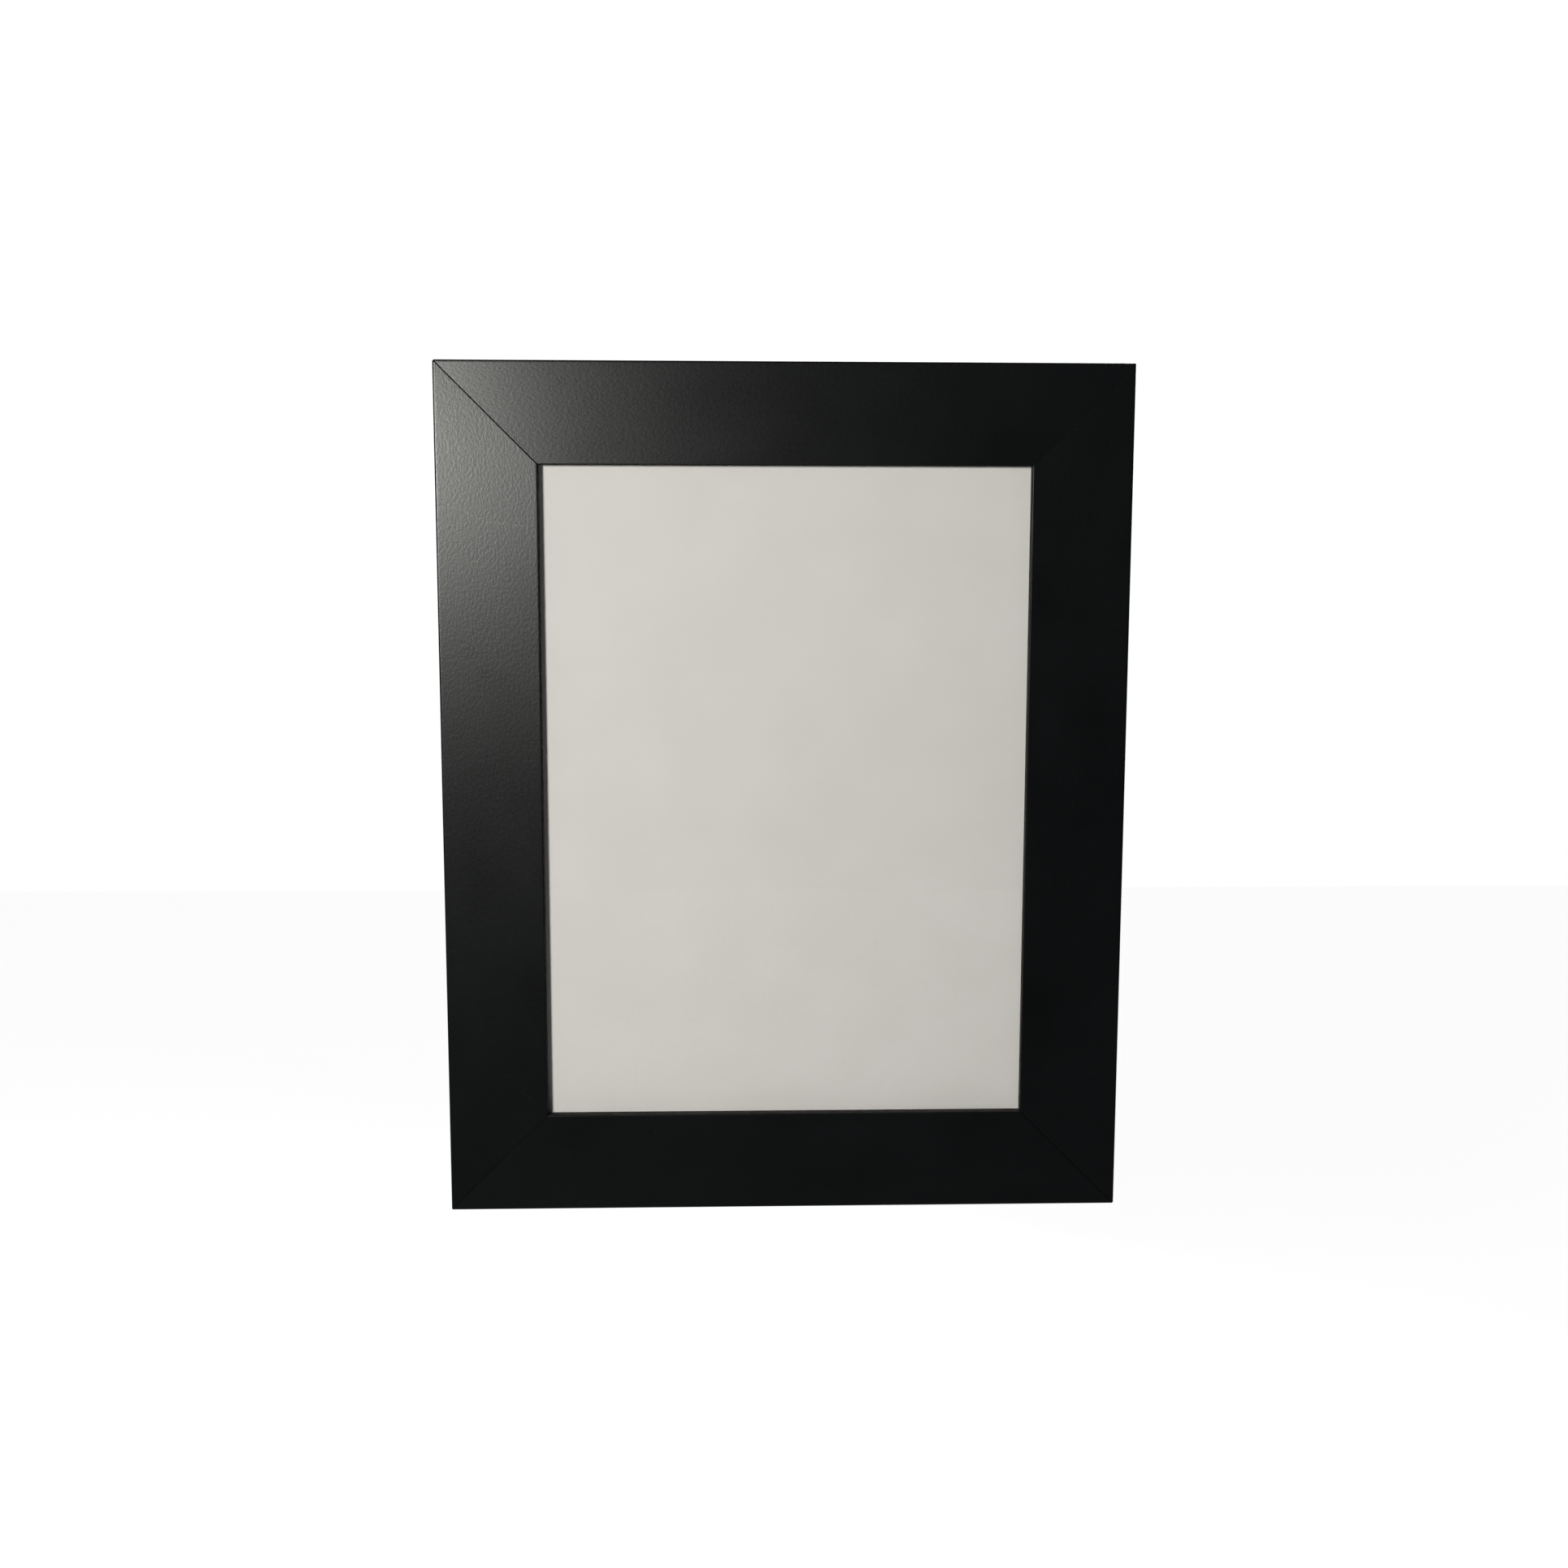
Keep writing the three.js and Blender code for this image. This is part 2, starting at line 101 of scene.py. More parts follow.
FOIL_DARK = (0.0020, 0.0023, 0.0027, 1)
FOIL_LIGHT = (0.0030, 0.0034, 0.0040, 1)
FOIL_DRAWN = 0.065  # the press draws the foil along the rail, so it shines a little wider across
FOIL_STRETCH = 0.7  # and its grain is longer along the rail
QUARTER_TURN = 0.25
FOIL_ROUGH = (0.270, 0.314)
FOIL_SHINE = 0.206
FOIL_GRAIN_DEPTH = 0.00005
BOARD_DARK = (0.330, 0.215, 0.120, 1)
BOARD_LIGHT = (0.460, 0.320, 0.195, 1)
BOARD_FLECK = (0.190, 0.115, 0.062, 1)
BOARD_ROUGH = (0.82, 0.95)
BOARD_PATCHES = 0.3  # how much the broad patches count beside the fibres
SHIVE_TURNS = (20, 80, 140)  # degrees, so that no layer matches another
SHIVE_STRETCH = 0.28
RAW_SHINE = 0.0  # raw fibres have no shine of their own
STAIN = (0.004, 0.004, 0.0045, 1)
STAIN_WAVER = 0.5  # how far the stain's end wanders, as a share of its depth
STAIN_FADE = 0.1  # and over how much of its depth it fades out
LIP_PAINT_DARK = (0.007, 0.0062, 0.005, 1)
LIP_PAINT_LIGHT = (0.012, 0.0105, 0.0085, 1)
LIP_PAINT_ROUGH = (0.68, 0.8)
LIP_PAINT_SHINE = 0.2

# marks of use on the face, in places across and up
SCRATCH = (
    (-0.1985, 0.0866),
    (-0.1914, 0.0864),
    (-0.1844, 0.0819),
    (-0.1759, 0.0786),
    (-0.1659, 0.0777),
    (-0.1526, 0.0761),
)
SCRATCH_HALF = 0.0006
SCRATCH_GREY = (0.055, 0.055, 0.050, 1)
SMUDGES = ((-0.187, 0.0023), (-0.1781, -0.0103), (-0.1685, -0.0132), (-0.138, 0.1663), (-0.130, 0.1598))
SMUDGE_RADIUS = 0.0085
SMUDGE_POLISH = -0.012  # a greasy finger leaves the foil a little smoother
DUST = (
    (-0.1684, 0.0711),
    (-0.1705, -0.2575),
    (-0.1608, -0.2679),
    (-0.1573, -0.2705),
    (0.1897, -0.2588),
    (0.1459, -0.3238),
    (-0.0803, -0.2934),
)
DUST_RADIUS = 0.0007
DUST_GREY = (0.016, 0.016, 0.016, 1)


def put_all_down():
    if bpy.context.mode != "OBJECT":
        bpy.ops.object.mode_set(mode="OBJECT")
    bpy.ops.object.select_all(action="DESELECT")


def take_up(piece, mode="OBJECT"):
    put_all_down()
    piece.select_set(True)
    bpy.context.view_layer.objects.active = piece
    if mode == "EDIT":
        bpy.ops.object.mode_set(mode="EDIT")


def freeze(piece):
    """Puts the piece's place and turn into its mesh."""
    take_up(piece)
    bpy.ops.object.transform_apply(location=True, rotation=True, scale=True)


def block(name, low, high):
    """A squared-up piece between two corners."""
    put_all_down()
    low, high = Vector(low), Vector(high)
    bpy.ops.mesh.primitive_cube_add(size=1, location=(low + high) / 2, scale=high - low)
    piece = bpy.context.object
    piece.name = piece.data.name = name
    freeze(piece)
    return piece


def pick_faces(piece, wanted):
    """Selects the faces, in edit mode, whose middle and normal are wanted."""
    bpy.ops.mesh.select_mode(type="FACE")
    bpy.ops.mesh.select_all(action="DESELECT")
    shape = bmesh.from_edit_mesh(piece.data)
    for face in shape.faces:
        if wanted(face.calc_center_median(), face.normal):
            face.select_set(True)
    bmesh.update_edit_mesh(piece.data)


def pick_edges(piece, wanted):
    """Selects the edges, in edit mode, whose two ends are wanted."""
    bpy.ops.mesh.select_mode(type="EDGE")
    bpy.ops.mesh.select_all(action="DESELECT")
    shape = bmesh.from_edit_mesh(piece.data)
    for edge in shape.edges:
        if wanted(edge.verts[0].co, edge.verts[1].co):
            edge.select_set(True)
    bmesh.update_edit_mesh(piece.data)


def near(a, b):
    return abs(a - b) < SAME_PLACE


def round_edges(piece, wanted, radius, steps, profile=0.5):
    pick_edges(piece, wanted)
    bpy.ops.mesh.bevel(offset=radius, segments=steps, profile=profile, affect="EDGES")


def cut_away(piece, cutter):
    """Cuts the cutter's shape out of the piece, and throws the cutter away."""
    take_up(piece)
    cut = piece.modifiers.new("cut", "BOOLEAN")
    cut.object = cutter
    cut.operation = "DIFFERENCE"
    cut.solver = "EXACT"
    bpy.ops.object.modifier_apply(modifier=cut.name)
    bpy.data.objects.remove(cutter)


def dress_surface(piece):
    """Smooth where the surface is round, flat and crisp elsewhere."""
    take_up(piece)
    bpy.ops.object.shade_smooth_by_angle(angle=SMOOTH_ANGLE)
    flatten = piece.modifiers.new("flatten", "WEIGHTED_NORMAL")
    flatten.keep_sharp = True
    bpy.ops.object.modifier_apply(modifier=flatten.name)


BODY_OF = {
    node: body
    for body, nodes in frame["record"]["behaviour"]["bodies"].items()
    for node in nodes
}


def stand_for(piece, node):
    """The finished piece stands in for its CAD node, which is hidden, and moves with that node's body."""
    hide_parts(node)
    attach(piece, BODY_OF[node])


def disc(name, radius, low_y, high_y, x=0, z=0, sides=ROUND_SIDES):
    """A round slice of bar that stands along Y."""
    put_all_down()
    bpy.ops.mesh.primitive_cylinder_add(
        vertices=sides,
        radius=radius,
        depth=high_y - low_y,
        location=(x, (low_y + high_y) / 2, z),
        rotation=(-math.pi / 2, 0, 0),
    )
    piece = bpy.context.object
    piece.name = piece.data.name = name
    freeze(piece)
    return piece


def slot_cutter(nail):
    """The corner nail's own shape, a little larger all round and open at the back."""
    put_all_down()
    node = frame["nodes"][nail]
    cutter = bpy.data.objects.new("slot_cutter", node.data.copy())
    bpy.context.scene.collection.objects.link(cutter)
    take_up(cutter, "EDIT")
    bpy.ops.mesh.select_all(action="SELECT")
    bpy.ops.mesh.remove_doubles(threshold=SAME_PLACE)
    bpy.ops.transform.shrink_fatten(value=NAIL_FIT)
    pick_faces(cutter, lambda middle, normal: normal.y > FACING)
    bpy.ops.transform.translate(value=(0, RAIL_DEPTH, 0))
    put_all_down()
    return cutter


def hole_cutter(screw):
    """A pilot hole for the CAD screw, from the back of the rail to the screw's point."""
    low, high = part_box(screw)
    shank = min(high.x - low.x, high.z - low.z) * SHANK_SHARE / 2 + SCREW_FIT
    middle = (low + high) / 2
    mouth = RAIL_BACK + HOLE_OVERRUN
    return disc("hole_cutter", shank, low.y - SCREW_FIT, mouth, middle.x, middle.z, HOLE_SIDES)


def close_cut():
    """Puts a face across the edges that a cut has left open."""
    bpy.ops.mesh.select_mode(type="EDGE")
    bpy.ops.mesh.select_all(action="DESELECT")
    bpy.ops.mesh.select_non_manifold()
    bpy.ops.mesh.edge_face_add()


def sawn_end(piece, length, end, gap):
    """Cuts one end to the mitre, half the joint's gap back from the corner's diagonal.

    The first end of each rail carries the bed of glue that fills its joint."""
    setback = gap * math.sqrt(0.5)

    def on_cut(place):
        return near(end * place.x + place.z, length / 2 - setback)

    def on_cut_and_face(a, b):
        return on_cut(a) and on_cut(b) and max(a.y, b.y) < FACE_SKIN

    take_up(piece, "EDIT")
    bpy.ops.mesh.select_all(action="SELECT")
    bpy.ops.mesh.bisect(
        plane_co=(end * (length / 2 - setback), 0, 0), plane_no=(end, 0, 1), clear_outer=True
    )
    close_cut()
    round_edges(piece, on_cut_and_face, SAWN_ARRIS, steps=2)
    pick_faces(piece, lambda middle, normal: on_cut(middle))
    piece.active_material_index = BOARD_SLOT
    bpy.ops.object.material_slot_assign()
    if end < 0:
        bpy.ops.mesh.inset(thickness=GLUE_INSET)
        fill = (gap - GLUE_CLEAR) * math.sqrt(0.5)
        bpy.ops.mesh.extrude_region_move(TRANSFORM_OT_translate={"value": (end * fill, 0, fill)})
    put_all_down()


def moulded_rail(name, length, corners):
    """A rail on the bench: X along it, Y from its face to its back and Z from its outer edge inwards."""
    rail = block(name, (-length / 2, 0, 0), (length / 2, RAIL_DEPTH, REBATE_INSET))
    for finish in (FOIL, BARE_BOARD, LIP_PAINT):
        rail.data.materials.append(finish)
    take_up(rail, "EDIT")
    bpy.ops.mesh.select_all(action="SELECT")
    bpy.ops.mesh.bisect(plane_co=(0, LIP_DEPTH, 0), plane_no=(0, 1, 0))
    pick_faces(rail, lambda middle, normal: normal.z > FACING and middle.y < LIP_DEPTH)
    lip = RAIL_WIDTH - REBATE_INSET
    bpy.ops.mesh.extrude_region_move(TRANSFORM_OT_translate={"value": (0, 0, lip)})

    pick_faces(rail, lambda middle, normal: normal.y > FACING and middle.y > LIP_DEPTH + JUST_PAST)
    bpy.ops.mesh.bisect(plane_co=(0, 0, TURNOVER), plane_no=(0, 0, 1))
    pick_faces(rail, lambda middle, normal: normal.y > FACING and middle.z < TURNOVER)
    bpy.ops.mesh.extrude_region_move(TRANSFORM_OT_translate={"value": (0, TURNOVER_RISE, 0)})

    for radius, y, z in (
        (OUTER_ARRIS, 0, 0),
        (SIGHT_ARRIS, 0, RAIL_WIDTH),
        (BACK_ARRIS, RAIL_DEPTH + TURNOVER_RISE, 0),
    ):
        round_edges(
            rail,
            lambda a, b: near(a.y, y) and near(b.y, y) and near(a.z, z) and near(b.z, z),
            radius,
            ARRIS_STEPS,
            ARRIS_PROFILE,
        )

    face_low, face_high = OUTER_ARRIS, RAIL_WIDTH - SIGHT_ARRIS
    face_width = face_high - face_low
    shares = [step / HOLLOW_STEPS for step in range(1, HOLLOW_STEPS)]
    shares += [EDGE_STRIP / face_width, 1 - EDGE_STRIP / face_width]
    shares += [(REBATE_INSET - face_low) / face_width]  # the line that the lip was drawn out from
    lines = {  # across the face, and how far each has sunk
        face_low + share * face_width: HOLLOW * (1 - (2 * share - 1) ** 2) for share in shares
    }
    for z in lines:
        pick_faces(rail, lambda middle, normal: normal.y < -FACING and face_low < middle.z < face_high)
        bpy.ops.mesh.bisect(plane_co=(0, 0, z), plane_no=(0, 0, 1))
    for z, sunk in lines.items():
        pick_edges(rail, lambda a, b: near(a.z, z) and near(b.z, z) and near(a.y, 0) and near(b.y, 0))
        bpy.ops.transform.translate(value=(0, sunk, 0))
    put_all_down()

    for end, corner in zip((-1, 1), corners):
        sawn_end(rail, length, end, MITRE_GAPS[corner])
    # the map is laid out on the bench, so that the foil's grain follows each rail when it is turned
    take_up(rail, "EDIT")
    bpy.ops.mesh.select_all(action="SELECT")
    bpy.ops.uv.cube_project(cube_size=1)
    put_all_down()
    return rail


def finish_new(name):
    finish = bpy.data.materials.new(name)
    finish.use_nodes = True
    return finish, finish.node_tree, finish.node_tree.nodes["Principled BSDF"]


def wire(tree, kind, feeds, **settings):
    """Adds a shader node with its settings. Each feed is a number, a colour or another node's output."""
    made = tree.nodes.new("ShaderNode" + kind)
    for key, value in settings.items():
        setattr(made, key, value)
    for key, value in feeds.items():
        if isinstance(value, bpy.types.NodeSocket):
            tree.links.new(value, made.inputs[key])
        else:
            made.inputs[key].default_value = value
    return made


def object_place(tree):
    """Where a point is on the object, in metres."""
    return wire(tree, "TexCoord", {}).outputs["Object"]


def noise(tree, place, scale, detail, roughness=0.5):
    """A random pattern, with its scale in bumps to the metre."""
    feeds = {"Vector": place, "Scale": scale, "Detail": detail, "Roughness": roughness}
    return wire(tree, "TexNoise", feeds).outputs["Fac"]


def maths(tree, operation, *values):
    """A sum on numbers and other nodes' outputs."""
    feeds = dict(enumerate(values))
    return wire(tree, "Math", feeds, operation=operation).outputs["Value"]


def ranged(tree, value, low, high, from_low=0.3, from_high=0.7):
    """A noise's value spread over a range."""
    feeds = {"Value": value, "From Min": from_low, "From Max": from_high, "To Min": low, "To Max": high}
    return wire(tree, "MapRange", feeds).outputs["Result"]


def blended(tree, share, first, second):
    feeds = {"Factor": share, "A": first, "B": second}
    mix = tree.nodes.new("ShaderNodeMix")
    mix.data_type = "RGBA"
    for socket in mix.inputs:
        if socket.name in feeds and socket.type == ("VALUE" if socket.name == "Factor" else "RGBA"):
            value = feeds[socket.name]
            if isinstance(value, bpy.types.NodeSocket):
                tree.links.new(value, socket)
            else:
                socket.default_value = value
    return [socket for socket in mix.outputs if socket.type == "RGBA"][0]


def fade(tree, distance, reach):
    """One at no distance, and nothing from the reach on."""
    feeds = {"Value": distance, "From Min": reach, "From Max": 0.0}
    return wire(tree, "MapRange", feeds, interpolation_type="SMOOTHSTEP").outputs["Result"]


def spot(tree, place, x, z, reach):
    """A round mark on the face."""
    away = wire(tree, "VectorMath", {0: place, 1: (x, FRONT, z)}, operation="DISTANCE").outputs["Value"]
    return fade(tree, away, reach)


def stroke(tree, place, start, end, half_width):
    """A straight mark on the face, between two places."""
    start, end = Vector((start[0], FRONT, start[1])), Vector((end[0], FRONT, end[1]))
    run = end - start
    past = wire(tree, "VectorMath", {0: place, 1: start}, operation="SUBTRACT").outputs["Vector"]
    feeds = {0: past, 1: run / run.length_squared}
    along = wire(tree, "VectorMath", feeds, operation="DOT_PRODUCT").outputs["Value"]
    along = wire(tree, "Clamp", {"Value": along}).outputs["Result"]
    nearest = wire(tree, "VectorMath", {0: run, "Scale": along}, operation="SCALE").outputs["Vector"]
    away = wire(tree, "VectorMath", {0: past, 1: nearest}, operation="DISTANCE").outputs["Value"]
    return fade(tree, away, half_width)


def strongest(tree, marks):
    most = marks[0]
    for mark in marks[1:]:
        most = maths(tree, "MAXIMUM", most, mark)
    return most


def surface(tree, shader, colour, rough, height, strength, depth, shine=0.5):
    """Joins a colour, a roughness and a relief to the shader, and sets how much it shines."""
    tree.links.new(colour, shader.inputs["Base Color"])
    tree.links.new(rough, shader.inputs["Roughness"])
    relief = wire(tree, "Bump", {"Height": height, "Strength": strength, "Distance": depth})
    tree.links.new(relief.outputs["Normal"], shader.inputs["Normal"])
    shader.inputs["Specular IOR Level"].default_value = shine


def black_foil():
    """Matt-black foil: a fine pebbled grain, a little longer along the rail than across it."""
    finish, tree, shader = finish_new("black foil")
    place = object_place(tree)
    along = wire(tree, "UVMap", {}, uv_map="UVMap").outputs["UV"]
    drawn = wire(tree, "Mapping", {"Vector": along, "Scale": (FOIL_STRETCH, 1, 1)}).outputs["Vector"]
    pebble = noise(tree, drawn, scale=640, detail=3, roughness=0.6)
    fleck = noise(tree, drawn, scale=480, detail=2, roughness=0.7)
    cloud = noise(tree, drawn, scale=16, detail=3, roughness=0.55)
    colour = blended(tree, ranged(tree, cloud, 0, 1), FOIL_DARK, FOIL_LIGHT)
    dust = strongest(tree, [spot(tree, place, x, z, DUST_RADIUS) for x, z in DUST])
    colour = blended(tree, dust, colour, DUST_GREY)
    strokes = zip(SCRATCH, SCRATCH[1:])
    scratch = strongest(tree, [stroke(tree, place, start, end, SCRATCH_HALF) for start, end in strokes])
    broken = ranged(tree, pebble, 0.1, 1.0, from_low=0.4, from_high=0.6)
    colour = blended(tree, maths(tree, "MULTIPLY", scratch, broken), colour, SCRATCH_GREY)
    rough = ranged(tree, maths(tree, "ADD", cloud, fleck), *FOIL_ROUGH, from_low=0.7, from_high=1.3)
    smudge = strongest(tree, [spot(tree, place, x, z, SMUDGE_RADIUS) for x, z in SMUDGES])
    rough = maths(tree, "MULTIPLY_ADD", smudge, SMUDGE_POLISH, rough)
    surface(tree, shader, colour, rough, pebble, strength=1.0, depth=FOIL_GRAIN_DEPTH, shine=FOIL_SHINE)
    grain = wire(tree, "Tangent", {}, direction_type="UV_MAP", uv_map="UVMap").outputs["Tangent"]
    tree.links.new(grain, shader.inputs["Tangent"])
    shader.inputs["Anisotropic"].default_value = FOIL_DRAWN
    shader.inputs["Anisotropic Rotation"].default_value = QUARTER_TURN
    return finish


def shives(tree, place, scale, low, high):
    """Coarse bits of fibre, a few times as long as they are thick, in layers that don't match."""
    bits = []
    for turn in SHIVE_TURNS:
        feeds = {"Vector": place, "Rotation": (0, math.radians(turn), 0), "Scale": (1, 1, SHIVE_STRETCH)}
        lying = wire(tree, "Mapping", feeds).outputs["Vector"]
        bits.append(ranged(tree, noise(tree, lying, scale, detail=1), 0, 1, low, high))
    return strongest(tree, bits)


def bare_board():
    """Raw fibreboard: matted brown fibres, stained black near the face so that no mitre shows pale."""
    finish, tree, shader = finish_new("bare fibreboard")
    place = object_place(tree)
    fibre = noise(tree, place, scale=900, detail=4, roughness=0.7)
    patch = noise(tree, place, scale=45, detail=3, roughness=0.6)
    both = maths(tree, "MULTIPLY_ADD", patch, BOARD_PATCHES, fibre)
    shade = ranged(tree, both, 0, 1, from_low=0.4, from_high=0.9)
    colour = blended(tree, shade, BOARD_DARK, BOARD_LIGHT)
    colour = blended(tree, shives(tree, place, scale=1100, low=0.60, high=0.85), colour, BOARD_FLECK)
    depth = wire(tree, "SeparateXYZ", {"Vector": place}).outputs["Y"]
    soaked = maths(tree, "MULTIPLY_ADD", patch, STAIN_WAVER * STAIN_DEPTH, depth)
    stain_end = FRONT + (1 + STAIN_WAVER / 2) * STAIN_DEPTH
    stained = ranged(tree, soaked, 1, 0, stain_end - STAIN_FADE * STAIN_DEPTH, stain_end)
    colour = blended(tree, stained, colour, STAIN)
    rough = ranged(tree, fibre, *BOARD_ROUGH)
    surface(tree, shader, colour, rough, fibre, strength=0.5, depth=0.0002, shine=RAW_SHINE)
    return finish


def lip_paint():
    """Dull black paint brushed on the lip's edge, which lets a little brown through."""
    finish, tree, shader = finish_new("dull black paint")
    fibre = noise(tree, object_place(tree), scale=800, detail=3, roughness=0.6)
    colour = blended(tree, ranged(tree, fibre, 0, 1), LIP_PAINT_DARK, LIP_PAINT_LIGHT)
    rough = ranged(tree, fibre, *LIP_PAINT_ROUGH)
    surface(tree, shader, colour, rough, fibre, strength=0.6, depth=0.0001, shine=LIP_PAINT_SHINE)
    return finish


FOIL = black_foil()
BARE_BOARD = bare_board()
LIP_PAINT = lip_paint()


def wrap_in_foil(rail):
    """Foil all over, apart from the back, the sawn ends and the lip's narrow edge."""
    for face in rail.data.polygons:
        normal, middle = face.normal, face.center
        if normal.y > FACING and middle.y > LIP_DEPTH + JUST_PAST and middle.z > TURNOVER:
            face.material_index = BOARD_SLOT
        elif abs(normal.x) < SQUARE and normal.z > LIP_LEAN and middle.z > REBATE_INSET + JUST_PAST:
            face.material_index = LIP_SLOT


SIDES = {
    "bottom": {"turn": 0, "length": FRAME_WIDTH, "inset": FRAME_HEIGHT / 2},
    "left": {"turn": math.pi / 2, "length": FRAME_HEIGHT, "inset": FRAME_WIDTH / 2},
    "top": {"turn": math.pi, "length": FRAME_WIDTH, "inset": FRAME_HEIGHT / 2},
    "right": {"turn": -math.pi / 2, "length": FRAME_HEIGHT, "inset": FRAME_WIDTH / 2},
}
ENDS = {  # the corners at each rail's first and second end
    "bottom": ("bottom_left", "bottom_right"),
    "left": ("top_left", "bottom_left"),
    "top": ("top_right", "top_left"),
    "right": ("bottom_right", "top_right"),
}


def lay_on_side(piece, side, along=0, inwards=0, back=0):
    """Moves a piece from the bench to its place on one side of the frame."""
    turn, inset = SIDES[side]["turn"], SIDES[side]["inset"]
    edge = FRONT_MIDDLE + Vector((-math.sin(turn) * inset, 0, -math.cos(turn) * inset))
    piece.rotation_euler = (0, turn, 0)
    piece.location = edge + Euler((0, turn, 0)).to_matrix() @ Vector((along, back, inwards))
    freeze(piece)


for side, place in SIDES.items():
    rail = moulded_rail(f"rail_{side}_wrapped", place["length"], ENDS[side])
    wrap_in_foil(rail)
    lay_on_side(rail, side)
    for nail in [n for n in frame["nodes"] if n.startswith("corner_nail") and side in n]:
        cut_away(rail, slot_cutter(nail))
    for screw in [n for n in frame["nodes"] if f"_screw_{side}_" in n]:
        cut_away(rail, hole_cutter(screw))
    dress_surface(rail)
    stand_for(rail, f"rail_{side}")


# Glass
# A pane of 2 mm float glass, cut to drop into the rebate, with its sharp edges rubbed off.
# It is a little green, as such glass is when light goes through it slantwise.

GLASS_ARRIS = 0.0002
GLASS_TINT = (0.975, 0.985, 0.98, 1)
GLASS_SHADOW = (0.94, 0.945, 0.942, 1)  # what light on its way to the card keeps
GLASS_IOR = 1.5
GLASS_FILM_ROUGH = (0.0, 0.012)  # a faint film that wiping has left


def clear_glass():
    finish, tree, shader = finish_new("float glass")
    shader.inputs["Base Color"].default_value = GLASS_TINT
    shader.inputs["Transmission Weight"].default_value = 1.0
    shader.inputs["IOR"].default_value = GLASS_IOR
    film = noise(tree, object_place(tree), scale=14, detail=3)
    tree.links.new(ranged(tree, film, *GLASS_FILM_ROUGH), shader.inputs["Roughness"])
    straight = wire(tree, "BsdfTransparent", {"Color": GLASS_SHADOW}).outputs["BSDF"]
    ray = wire(tree, "LightPath", {})
    look = shader.outputs["BSDF"]
    for straight_through in ("Is Diffuse Ray", "Is Shadow Ray"):
        feeds = {0: ray.outputs[straight_through], 1: look, 2: straight}
        look = wire(tree, "MixShader", feeds).outputs["Shader"]
    tree.links.new(look, tree.nodes["Material Output"].inputs["Surface"])
    return finish


pane = block("glass_pane_cut", glass_low, glass_high)
take_up(pane, "EDIT")
round_edges(pane, lambda a, b: True, GLASS_ARRIS, steps=2)
dress_surface(pane)
pane.data.materials.append(clear_glass())
stand_for(pane, "glass_pane")


# Blank sheet
# A plain sheet of warm off-white card, cut to fill the rebate and pressed flat behind the glass.
# Its surface is matt, with a very faint mottle of paper fibres.

CARD_EDGE = 0.0002
CARD_DARK = (0.690, 0.650, 0.638, 1)
CARD_LIGHT = (0.735, 0.698, 0.690, 1)
CARD_ROUGH = (0.86, 0.94)
CARD_SHINE = 0.25


def off_white_card():
    finish, tree, shader = finish_new("off-white card")
    place = object_place(tree)
    fibre = noise(tree, place, scale=420, detail=3, roughness=0.6)
    cloud = noise(tree, place, scale=22, detail=2)
    shade = ranged(tree, maths(tree, "ADD", fibre, cloud), 0, 1, from_low=0.6, from_high=1.4)
    colour = blended(tree, shade, CARD_DARK, CARD_LIGHT)
    rough = ranged(tree, fibre, *CARD_ROUGH)
    surface(tree, shader, colour, rough, fibre, strength=0.25, depth=0.00003, shine=CARD_SHINE)
    return finish


card = block("blank_sheet_card", *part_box("blank_sheet"))
take_up(card, "EDIT")
round_edges(card, lambda a, b: True, CARD_EDGE, steps=2)
dress_surface(card)
card.data.materials.append(off_white_card())
stand_for(card, "blank_sheet")


# Backing board
# A sheet of brown hardboard that closes the back, held in the rebate by the turn buttons.
# Its front is smooth, and its back has the print of the wire screen that it was pressed on.

BOARD_ARRIS = 0.0003
SMOOTH_BROWN = ((0.120, 0.064, 0.032, 1), (0.185, 0.106, 0.056, 1))
SCREEN_BROWN = ((0.140, 0.078, 0.041, 1), (0.215, 0.130, 0.072, 1))
# painted shade: the screen's pits are coloured darker the deeper they go
PIT_SHADE_BROWN = (0.085, 0.046, 0.024, 1)
PIT_SHADE_SHARE = 0.45  # how much of the painted shade the deepest pits have
PIT_RIM = -0.1  # where a pit starts, with the screen's wave from -1 to 1
SHIVE_BROWN = (0.060, 0.034, 0.019, 1)
SCREEN_PITCH = 0.0021
SCREEN_TURN = math.radians(1.5)  # the board was cut a little askew to the screen
SCREEN_SHARE = 0.35  # how much the screen's print counts beside the fibres
HARDBOARD_PATCHES = 0.45
SCREEN_SLOT, SMOOTH_SLOT = 0, 1
SMOOTH_SIDE = -0.5  # the front and its rubbed edges
SCREEN_RELIEF = 0.00022
SMOOTH_RELIEF = 0.00005
HARDBOARD_ROUGH = (0.6, 0.85)
HARDBOARD_SHINE = 0.35
RUB_BROWN = (0.31, 0.20, 0.12, 1)
RUB_NEAR, RUB_FAR = 0.0105, 0.0205  # where a button's tip slides, from its pivot
RUB_CORE = 0.3  # the middle share of that ring, which is rubbed the most

button_pivots = [
    Vector(joint["pos_m"]) for joint in frame["joints"] if joint["child"].startswith("button")
]


def rub_marks(tree, place):
    """Where the turn buttons' tips have rubbed the board: a ring of scuffs round each pivot."""
    marks = 0.0
    middle, half = (RUB_NEAR + RUB_FAR) / 2, (RUB_FAR - RUB_NEAR) / 2
    flat = wire(tree, "VectorMath", {0: place, 1: (1, 0, 1)}, operation="MULTIPLY").outputs["Vector"]
    for pivot in button_pivots:
        feeds = {0: flat, 1: (pivot.x, 0, pivot.z)}
        away = wire(tree, "VectorMath", feeds, operation="DISTANCE").outputs["Value"]
        off = maths(tree, "ABSOLUTE", maths(tree, "SUBTRACT", away, middle))
        feeds = {"Value": off, "From Min": half, "From Max": RUB_CORE * half}
        ring = wire(tree, "MapRange", feeds).outputs["Result"]
        marks = maths(tree, "MAXIMUM", marks, ring)
    return marks


